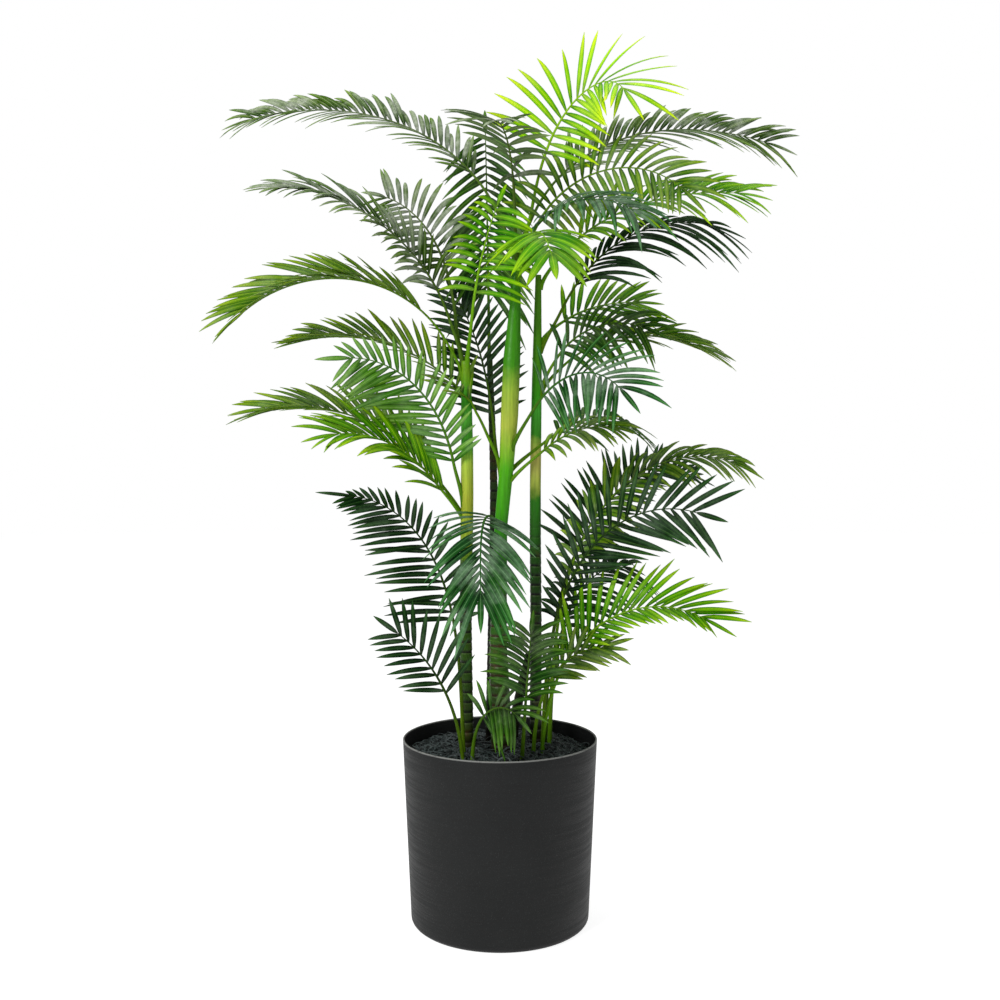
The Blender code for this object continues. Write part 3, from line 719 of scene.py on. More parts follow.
@dataclass
class TopLayer:
    """The filling, the fibre mat on it and the loose curled strands on top."""

    edge_height: float = 0.344
    middle_height: float = 0.360
    radius: float = 0.193
    strands: int = 1150
    strand_radius: float = 0.00095
    strand_length: float = 0.052
    strand_steps: int = 9
    curls: tuple[float, ...] = (110.0, 200.0, 300.0)

    def top(self, reach: np.ndarray | float) -> np.ndarray | float:
        """The height of the mat at a distance from the pot's axis."""
        share = reach / self.radius
        return self.edge_height + (self.middle_height - self.edge_height) * (1 - share * share)

    def strand(self, number: int, curl: float) -> bpy.types.Object:
        """A strand that lies level and curls through an angle.

        Args:
            number: The pattern's number.
            curl: The angle from end to end, in degrees.

        Returns:
            The pattern strand, centred on the origin.
        """
        step = self.strand_length / self.strand_steps
        rows = [(0.0, 0.0, step * turn, self.strand_radius) for turn in range(self.strand_steps + 1)]
        obj = drawn_rod(f"strand_pattern_{number}", 4, rows)
        points = places(obj)
        share = points[:, 2] / self.strand_length
        bend = math.radians(curl) * share
        radius = self.strand_length / math.radians(curl)
        wave = 0.004 * np.sin(share * math.pi * 1.5)
        line = np.stack([radius * np.sin(bend), radius * (1 - np.cos(bend)), wave], axis=1)
        side = np.stack([-np.sin(bend), np.cos(bend), np.zeros(len(bend))], axis=1)
        up = np.array((0.0, 0.0, 1.0))
        taper = 1.0 - 0.6 * np.abs(2 * share - 1) ** 3
        bent = line + side * (points[:, :1] * taper[:, None] * 1.5) + up * (points[:, 1:2] * taper[:, None])
        bent -= bent.mean(axis=0)
        obj.data.vertices.foreach_set("co", bent.ravel())
        return obj

    def build_strands(self, canes: "Canes", material: bpy.types.Material) -> None:
        """Scatters the strands over the mat, clear of the canes.

        Args:
            canes: The canes that they lie around.
            material: Their finish.
        """
        rng = np.random.default_rng(SEED)
        patterns = [self.strand(number, curl) for number, curl in enumerate(self.curls)]
        shapes = [places(pattern) for pattern in patterns]
        copies = []
        while len(copies) < self.strands:
            number = int(rng.integers(len(patterns)))
            reach = (self.radius - 0.012) * math.sqrt(rng.random())
            angle = rng.random() * math.tau
            x, y = reach * math.cos(angle), reach * math.sin(angle)
            points = shapes[number] * (0.55 + 0.75 * rng.random())
            points = turned_about(points, 0, rng.normal(0.0, 0.30))
            points = turned_about(points, 1, rng.normal(0.0, 0.30))
            points = turned_about(points, 2, rng.random() * math.tau)
            points += (x, y, 0.0)
            points[:, 2] += self.top(np.hypot(points[:, 0], points[:, 1])) + rng.uniform(-0.0005, 0.0045)
            if np.hypot(points[:, 0], points[:, 1]).max() > self.radius or canes.touch(points):
                continue
            copies.append(cast(patterns[number], points))
        whole = join("moss_strands", copies)
        smooth(whole, 60)
        finish_piece(whole, material, "moss_mulch")
        discard(*patterns)

    def build(self, canes: "Canes", effects: Effects) -> None:
        """Dresses the filling and the mat, and lays the strands."""
        filling = FibreFinish("filling_dull", "#17130e", "#332a20", 60.0, 0.004, 0.85)
        mat = FibreFinish("moss_dark", "#080b0b", "#1a201f", 110.0, 0.006, 0.75)
        strand = FibreFinish("moss_strand", "#0e1414", "#465453", 90.0, 0.0008, 0.55)
        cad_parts["potting_soil"].data.materials.clear()
        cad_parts["potting_soil"].data.materials.append(filling.material(effects))
        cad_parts["moss_mulch"].data.materials.clear()
        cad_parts["moss_mulch"].data.materials.append(mat.material(effects))
        self.build_strands(canes, strand.material(effects))


# ---------------------------------------------------------------- canes


@dataclass
class Cane:
    """One ringed cane. Each point of its line is (x, y, z, radius), from its foot up."""

    name: str
    finish: CaneFinish
    line: tuple[tuple[float, float, float, float], ...]
    slot: str = "cane"
    cad_rings: int = 11
    pitch: float = 0.020
    sides: int = 24
    swell: tuple[tuple[float, float], ...] = (
        (0.0, 0.955), (0.14, 0.965), (0.30, 1.035), (0.62, 1.0), (0.97, 0.985),
    )

    def __post_init__(self) -> None:
        """Draws the smooth line that the part's own cane follows."""
        points = np.array(self.line, float)
        heights = points[:, 2]
        slopes = np.gradient(points, heights, axis=0)
        rings = []
        for height in np.linspace(heights[0], heights[-1], self.cad_rings):
            index = min(max(int(np.searchsorted(heights, height)) - 1, 0), len(heights) - 2)
            step = heights[index + 1] - heights[index]
            t = (height - heights[index]) / step
            start = (2 * t**3 - 3 * t**2 + 1) * points[index] + (t**3 - 2 * t**2 + t) * step * slopes[index]
            end = (3 * t**2 - 2 * t**3) * points[index + 1] + (t**3 - t**2) * step * slopes[index + 1]
            rings.append(start + end)
        self.rings = np.array(rings)
        self.top = float(heights[-1])

    def at(self, height: float) -> tuple[float, float, float]:
        """The cane's centre (x, y) and radius at a height."""
        heights = self.rings[:, 2]
        return tuple(float(np.interp(height, heights, self.rings[:, column])) for column in (0, 1, 3))

    def rows(self) -> tuple[list[tuple[float, float, float, float]], list[float]]:
        """The rings that the cane is drawn through, and each one's share of its internode."""
        rows, shares = [], []
        foot = self.line[0][2]
        count = int((self.top - foot) / self.pitch)
        pitch = (self.top - foot) / count
        for ring in range(count):
            for share, factor in self.swell:
                height = foot + (ring + share) * pitch
                x, y, radius = self.at(height)
                fading = np.interp(height, self.finish.ring_fade, (1.0, 0.12))
                rows.append((x, y, height, radius * (1 + (factor - 1) * fading)))
                shares.append(share)
        x, y, radius = self.at(self.top)
        rows.append((x, y, self.top, radius * 0.9))
        shares.append(1.0)
        return rows, shares

    def build(self, effects: Effects) -> bpy.types.Object:
        """Models and dresses the cane."""
        rows, shares = self.rows()
        cane = drawn_rod(self.name + "_ringed", self.sides, rows)
        points = places(cane)
        heights = np.array([row[2] for row in rows])
        nearest = np.abs(points[:, 2:3] - heights[None]).argmin(axis=1)
        values = np.zeros((len(points), 3))
        values[:, 1] = np.array(shares)[nearest]
        note(cane, "cane", values)
        smooth(cane, 70)
        finish_piece(cane, self.finish.material(effects), self.slot, self.name)
        return cane


class Canes:
    """The five canes."""

    def __init__(self) -> None:
        """Sets out the canes' lines and finishes."""
        self.left = Cane("cane_left", CaneFinish("cane_left_satin", (
            (0.36, "#33350f"), (0.46, "#2d4e08"), (0.66, "#33600a"), (0.74, "#55840e"), (0.80, "#9cb42c"),
            (0.87, "#aab434"), (0.94, "#a9c440"), (0.962, "#78b430"), (0.975, "#44a41c"), (1.02, "#4aa02c"),
            (1.08, "#349a08"), (1.12, "#6c9a10"),
        ), "#141d08", (0.70, 0.78)), (
            (-0.067, -0.020, 0.250, 0.0130), (-0.067, -0.020, 0.360, 0.0130), (-0.070, -0.020, 0.650, 0.0125),
            (-0.067, -0.020, 0.860, 0.0130), (-0.067, -0.020, 1.000, 0.0120), (-0.070, -0.020, 1.150, 0.0095),
        ))
        self.centre = Cane("cane_centre", CaneFinish("cane_centre_satin", (
            (0.36, "#2c2c10"), (0.40, "#264a08"), (0.47, "#2a480a"), (0.56, "#305c0c"), (0.66, "#22600c"),
            (0.80, "#2c8008"), (0.86, "#3e9c06"), (0.93, "#4ca808"), (0.975, "#86b42c"), (1.02, "#b0be44"),
            (1.09, "#98b83a"), (1.14, "#3c8a10"), (1.28, "#348008"),
        ), "#33250f", (0.62, 0.74)), (
            (0.004, -0.030, 0.250, 0.0220), (0.004, -0.030, 0.360, 0.0220), (-0.001, -0.030, 0.480, 0.0205),
            (-0.004, -0.030, 0.560, 0.0180), (-0.001, -0.030, 0.660, 0.0155), (0.005, -0.030, 0.868, 0.0135),
            (0.015, -0.030, 0.950, 0.0150), (0.018, -0.030, 1.010, 0.0170), (0.025, -0.030, 1.175, 0.0165),
            (0.030, -0.030, 1.247, 0.0120), (0.034, -0.030, 1.375, 0.0075),
        ))
        dark = CaneFinish("cane_dark_satin", (
            (0.36, "#14120a"), (0.60, "#1b210d"), (0.85, "#20330f"), (1.10, "#2c4414"),
        ), "#0a0c05", (1.0, 1.2), 0.46, 0.05)
        self.back = Cane("cane_back", dark, (
            (-0.022, 0.040, 0.250, 0.0085), (-0.022, 0.040, 0.360, 0.0085), (-0.018, 0.040, 0.560, 0.0085),
            (-0.013, 0.040, 0.900, 0.0080), (-0.022, 0.040, 1.170, 0.0060),
        ), "cane_dark")
        self.right = Cane("cane_right", CaneFinish("cane_right_satin", (
            (0.36, "#15130a"), (0.52, "#162a08"), (0.70, "#1c440a"), (0.80, "#1e5a0c"), (0.87, "#2a7a10"),
            (0.90, "#b0c04c"), (0.95, "#c4bc62"), (0.985, "#a8c04c"), (1.00, "#3a901c"), (1.05, "#42a42c"),
            (1.08, "#369c08"), (1.15, "#4c960c"), (1.32, "#487a0c"),
        ), "#0c0d06", (0.72, 0.84)), (
            (0.074, 0.020, 0.250, 0.0125), (0.074, 0.020, 0.360, 0.0125), (0.075, 0.020, 0.560, 0.0120),
            (0.073, 0.020, 0.870, 0.0115), (0.076, 0.020, 1.110, 0.0102), (0.079, 0.020, 1.330, 0.0060),
        ))
        self.side = Cane("cane_side", dark, (
            (0.028, 0.074, 0.250, 0.0110), (0.028, 0.074, 0.340, 0.0110), (0.028, 0.074, 0.370, 0.0110),
            (0.042, 0.070, 0.450, 0.0105), (0.063, 0.064, 0.545, 0.0080),
        ), "cane_dark")
        self.all = (self.left, self.centre, self.back, self.right, self.side)

    def touch(self, points: np.ndarray) -> bool:
        """Says whether any of the points lies inside a cane."""
        for cane in self.all:
            x, y, radius = cane.at(0.355)
            if np.hypot(points[:, 0] - x, points[:, 1] - y).min() < radius + 0.0005:
                return True
        return False

    def push_clear(self, line: np.ndarray, out: np.ndarray, room: float) -> None:
        """Moves a stalk's points out of every cane that they would enter.

        Args:
            line: The stalk's points, which are changed in place.
            out: The level direction in which the stalk leaves its root.
            room: The distance that it keeps from a cane's surface.
        """
        for cane in self.all:
            for point in line:
                if point[2] > cane.top + 0.015:
                    continue
                x, y, radius = cane.at(point[2])
                away = point[:2] - (x, y)
                distance = float(np.linalg.norm(away))
                if distance < radius + room:
                    away = away / distance if distance > 0.0005 else out
                    point[:2] = np.array((x, y)) + away * (radius + room)

    def build(self, effects: Effects) -> None:
        """Models and dresses every cane."""
        for cane in self.all:
            cane.build(effects)


# ---------------------------------------------------------------- fronds


@dataclass
class Patterns:
    """The leaflet and the stalk that every frond's are copied from."""

    leaflet_length: float = 0.150
    leaflet_width: float = 0.0112
    cells_along: int = 8
    fold: float = 0.0011
    thickness: float = 0.0005
    widths: tuple[float, ...] = (0.34, 0.76, 0.95, 1.0, 0.98, 0.90, 0.74, 0.46, 0.05)
    stalk_rings: int = 44
    stalk_sides: int = 8

    def __post_init__(self) -> None:
        """Models both patterns."""
        self.leaflet = self.model_leaflet()
        rows = [(0.0, 0.0, ring / self.stalk_rings, 1.0) for ring in range(self.stalk_rings + 1)]
        self.stalk = drawn_rod("stalk_pattern", self.stalk_sides, rows)
        note(self.stalk, "leaf", np.zeros((len(self.stalk.data.vertices), 3)))
        self.leaflet_points = places(self.leaflet)
        self.stalk_points = places(self.stalk)

    def model_leaflet(self) -> bpy.types.Object:
        """A flat lance-shaped leaflet along +X, folded along its rib."""
        let_go()
        bpy.ops.mesh.primitive_grid_add(
            x_subdivisions=self.cells_along, y_subdivisions=2, size=1.0,
            location=(0.5, 0.0, 0.0), enter_editmode=True,
        )
        obj = bpy.context.object
        obj.name = "leaflet_pattern"
        for row, width in enumerate(self.widths):
            place = row / self.cells_along - 0.5
            pick(obj, lambda at, place=place: abs(at.x - place) < 0.01)
            centre = (place + 0.5, 0.0, 0.0)
            bpy.ops.transform.resize(value=(1.0, width * self.leaflet_width, 1.0), center_override=centre)
        pick(obj, lambda at: abs(at.y) < 0.0001 and -0.45 < at.x < 0.45)
        bpy.ops.transform.translate(value=(0.0, 0.0, self.fold))
        bpy.ops.mesh.select_all(action="SELECT")
        bpy.ops.transform.resize(value=(self.leaflet_length, 1.0, 1.0), center_override=(0.0, 0.0, 0.0))
        let_go()
        settle(obj)
        apply_modifier(obj, "SOLIDIFY", thickness=self.thickness, offset=0.0)
        points = places(obj)
        along = np.clip(points[:, 0] / self.leaflet_length, 0.0, 1.0)
        half = np.interp(along, np.linspace(0.0, 1.0, len(self.widths)), self.widths) * self.leaflet_width / 2
        across = np.clip(points[:, 1] / half, -1.0, 1.0)
        normals = np.zeros(len(points) * 3)
        obj.data.vertices.foreach_get("normal", normals)
        face = np.where(normals.reshape(-1, 3)[:, 2] > 0, 1.0, -1.0)
        note(obj, "leaf", np.stack([along, across, face], axis=1))
        return obj


class Root(Enum):
    """Where a frond grows from."""

    LEFT = "left"
    CENTRE = "centre"
    BACK = "back"
    RIGHT = "right"
    FOOT = "foot"


class Shade(Enum):
    """The record's slot names for the fronds."""

    DARK = "frond_dark"
    MIDDLE = "frond_middle"
    OLIVE = "frond_olive"
    BRIGHT = "frond_bright"


@dataclass
class Frond:
    """One frond: a stalk with two rows of leaflets.

    It leaves its root at the height given and heads for the compass angle given: 0 is +X and
    90 is +Y, away from the front. Its elevation goes from launch to tip, late if bend is over
    1, while its heading turns by swing. face is the elevation at which its upper side looks
    towards the front, turn what that gains by the tip, and lift raises both rows above that
    side. angles are the leaflets' slopes to the stalk, from the first to the last, young and
    last are the first and the last leaflets' lengths as shares of the full one, and rows are
    the two rows' lengths.
    """

    key: str
    root: Root
    height: float
    heading: float
    launch: float
    tip: float
    bend: float
    swing: float
    length: float
    bare: float
    leaflet: float
    shade: Shade
    finish: Finish
    face: float = 60.0
    turn: float = 0.0
    lift: float = 18.0
    droop: float = 0.25
    angles: tuple[float, float] = (66.0, 36.0)
    young: float = 0.72
    last: float = 0.70
    rows: tuple[float, float] = (1.0, 1.0)
    wide: float = 1.0
    foot: tuple[float, float] = (0.0, 0.0)
    pitch: float = 0.0160

    POINTS = 49
    FOOT_HEIGHT = 0.323
    STAND_OFF = 0.0068
    MERGE = 0.090

    def headings(self, shares: np.ndarray) -> np.ndarray:
        """The heading in radians at each share of the length."""
        return np.radians(self.heading + self.swing * shares)

    def centre_line(self, canes: Canes) -> np.ndarray:
        """The stalk's centre line, from its root to its last leaflet.

        Args:
            canes: The canes, one of which it may grow from.

        Returns:
            The line's points.
        """
        shares = np.linspace(0, 1, self.POINTS)
        middles = (shares[:-1] + shares[1:]) / 2
        elevation = np.radians(self.launch + (self.tip - self.launch) * middles**self.bend)
        heading = self.headings(middles)
        steps = np.stack([
            np.cos(elevation) * np.cos(heading),
            np.cos(elevation) * np.sin(heading),
            np.sin(elevation),
        ], axis=1) * self.length / (self.POINTS - 1)
        out = np.array((math.cos(math.radians(self.heading)), math.sin(math.radians(self.heading))))
        start = np.array((*self.foot, self.FOOT_HEIGHT))
        cane = getattr(canes, self.root.value, None)
        if cane:
            x, y, radius = cane.at(self.height)
            reach = radius + self.STAND_OFF
            start = np.array((x + reach * out[0], y + reach * out[1], self.height))
        line = np.vstack([start, start + np.cumsum(steps, axis=0)])
        canes.push_clear(line, out, self.STAND_OFF)
        if cane:
            travelled = np.linspace(0, self.length, self.POINTS)
            settle_in = 1 - np.clip(travelled / self.MERGE, 0, 1)
            settle_in = settle_in**2 * (3 - 2 * settle_in)
            for point, share in zip(line, settle_in):
                x, y, radius = cane.at(min(point[2], cane.top))
                toward = np.array((x, y)) - point[:2]
                distance = max(float(np.linalg.norm(toward)), 0.0001)
                point[:2] += toward / distance * min(self.STAND_OFF + 0.35 * radius, distance) * share
        return line

    def frames(self, line: np.ndarray) -> tuple[np.ndarray, np.ndarray, np.ndarray]:
        """The stalk's direction, its left and its upper side at each point."""
        along = np.gradient(line, axis=0)
        along /= np.linalg.norm(along, axis=1)[:, None]
        look = np.radians(self.face + self.turn * np.linspace(0.0, 1.0, self.POINTS)**2)
        up = np.stack([np.zeros(self.POINTS), -np.cos(look), np.sin(look)], axis=1)
        up -= along * (up * along).sum(axis=1)[:, None]
        up /= np.linalg.norm(up, axis=1)[:, None]
        return along, np.cross(up, along), up

    def read(self, rows: np.ndarray, share: float | np.ndarray) -> np.ndarray:
        """Rows of the line or its frames, read between points."""
        places_along = np.linspace(0, 1, self.POINTS)
        return np.stack([np.interp(share, places_along, rows[:, column]) for column in range(3)], axis=-1)

    def stalk_radius(self, share: np.ndarray) -> np.ndarray:
        """The stalk's radius: a flared sheath at its root, slender from there to its tip."""
        travelled = share * self.length
        base = 0.0040 if self.root is Root.FOOT else 0.0030
        slender = np.interp(share, (0.0, self.bare, 1.0), (base, 0.0024, 0.0008))
        flare = 0.0 if self.root is Root.FOOT else 0.0020
        return slender + flare * np.exp(-travelled / 0.045)

    def build_stalk(self, patterns: Patterns, line: np.ndarray, sides: tuple) -> bpy.types.Object:
        """Bends a copy of the stalk pattern along the line."""
        _, left, up = sides
        share = patterns.stalk_points[:, 2]
        radius = self.stalk_radius(share)[:, None]
        points = self.read(line, share)
        points = points + (self.read(left, share) * patterns.stalk_points[:, :1] * 1.15
                           + self.read(up, share) * patterns.stalk_points[:, 1:2] * 0.85) * radius
        stalk = cast(patterns.stalk, points)
        note(stalk, "frond", np.stack([share, np.zeros(len(share)), np.zeros(len(share))], axis=1))
        return stalk

    def build_leaflet(
        self, patterns: Patterns, root: np.ndarray, toward: np.ndarray, normal: np.ndarray,
        reach: float, droop: float, twist: float, reach_share: float, tint: float, side: float,
    ) -> bpy.types.Object:
        """Bends a copy of the leaflet pattern out from the stalk.

        Args:
            patterns: The patterns.
            root: Where it leaves the stalk.
            toward: The direction in which it leaves.
            normal: The direction that its upper face looks in.
            reach: Its length.
            droop: How far its tip falls, as a share of its length.
            twist: How far its tip turns about its rib, in radians.
            reach_share: How far along the frond it stands, from 0 to 1.
            tint: How pale it is, from -1 to 1.
            side: The row that it belongs to.

        Returns:
            The leaflet.
        """
        shape = patterns.leaflet_points
        t = shape[:, 0:1] / patterns.leaflet_length
        down = np.array((0.0, 0.0, -1.0))
        centre = root + reach * (t * toward + droop * t * t * down)
        tangent = toward + 2 * droop * t * down
        tangent /= np.linalg.norm(tangent, axis=1)[:, None]
        upper = normal - tangent * (tangent @ normal)[:, None]
        upper /= np.linalg.norm(upper, axis=1)[:, None]
        across = np.cross(upper, tangent)
        turn = twist * t
        turned_across = across * np.cos(turn) + upper * np.sin(turn)
        turned_upper = upper * np.cos(turn) - across * np.sin(turn)
        size = self.wide * (0.82 + 0.18 * min(reach / 0.15, 1.3))
        points = centre + turned_across * shape[:, 1:2] * size + turned_upper * shape[:, 2:3]
        leaflet = cast(patterns.leaflet, points)
        count = len(points)
        values = np.stack([np.full(count, reach_share), np.full(count, tint), np.full(count, side)], axis=1)
        note(leaflet, "frond", values)
        return leaflet

    def build(self, number: int, patterns: Patterns, canes: Canes, materials: dict) -> bpy.types.Object:
        """Models and dresses the frond.

        Args:
            number: The frond's number, which seeds its small irregularities.
            patterns: The leaflet and stalk patterns.
            canes: The canes.
            materials: The material of each finish.

        Returns:
            The frond's piece.
        """
        rng = np.random.default_rng(SEED + 7 * number)
        line = self.centre_line(canes)
        sides = self.frames(line)
        along, left, up = sides
        parts = [self.build_stalk(patterns, line, sides)]
        count = max(8, int(round((1 - self.bare) * self.length / self.pitch)))
        lift = math.radians(self.lift)
        for leaf in range(count):
            for side in (1.0, -1.0):
                share = (leaf + 0.5 + 0.18 * side * rng.random()) / count
                place = min(self.bare + (1 - self.bare) * share, 1.0)
                tilt = lift + math.radians(rng.normal(0.0, 5.0))
                out = self.read(left, place) * side * math.cos(tilt) + self.read(up, place) * math.sin(tilt)
                face = self.read(up, place) * math.cos(tilt) - self.read(left, place) * side * math.sin(tilt)
                slope = self.angles[0] + (self.angles[1] - self.angles[0]) * share
                angle = math.radians(slope + rng.normal(0.0, 2.5))
                toward = self.read(along, place) * math.cos(angle) + out * math.sin(angle)
                swell = self.young + (1 - self.young) * math.sin(math.pi / 2 * min(2.2 * share, 1.0))
                reach = self.leaflet * swell * (1 - (1 - self.last) * share**3) * (1 + rng.normal(0.0, 0.035))
                reach *= self.rows[0] if side > 0 else self.rows[1]
                droop = self.droop * (1 + rng.normal(0.0, 0.20))
                root = self.read(line, place)
                parts.append(self.build_leaflet(
                    patterns, root, toward, face, reach, droop, rng.normal(0.0, 0.22), place,
                    float(np.clip(rng.normal(0.0, 0.5), -1, 1)), side,
                ))
        end = self.read(along, 1.0)
        parts.append(self.build_leaflet(
            patterns, line[-1], end, self.read(up, 1.0), self.leaflet * 0.5, self.droop * 0.43,
            0.0, 1.0, 0.2, 0.0,
        ))
        frond = join("palm_" + self.key, parts)
        smooth(frond, 60)
        finish_piece(frond, materials[self.finish], self.shade.value, "frond_" + self.key)
        return frond


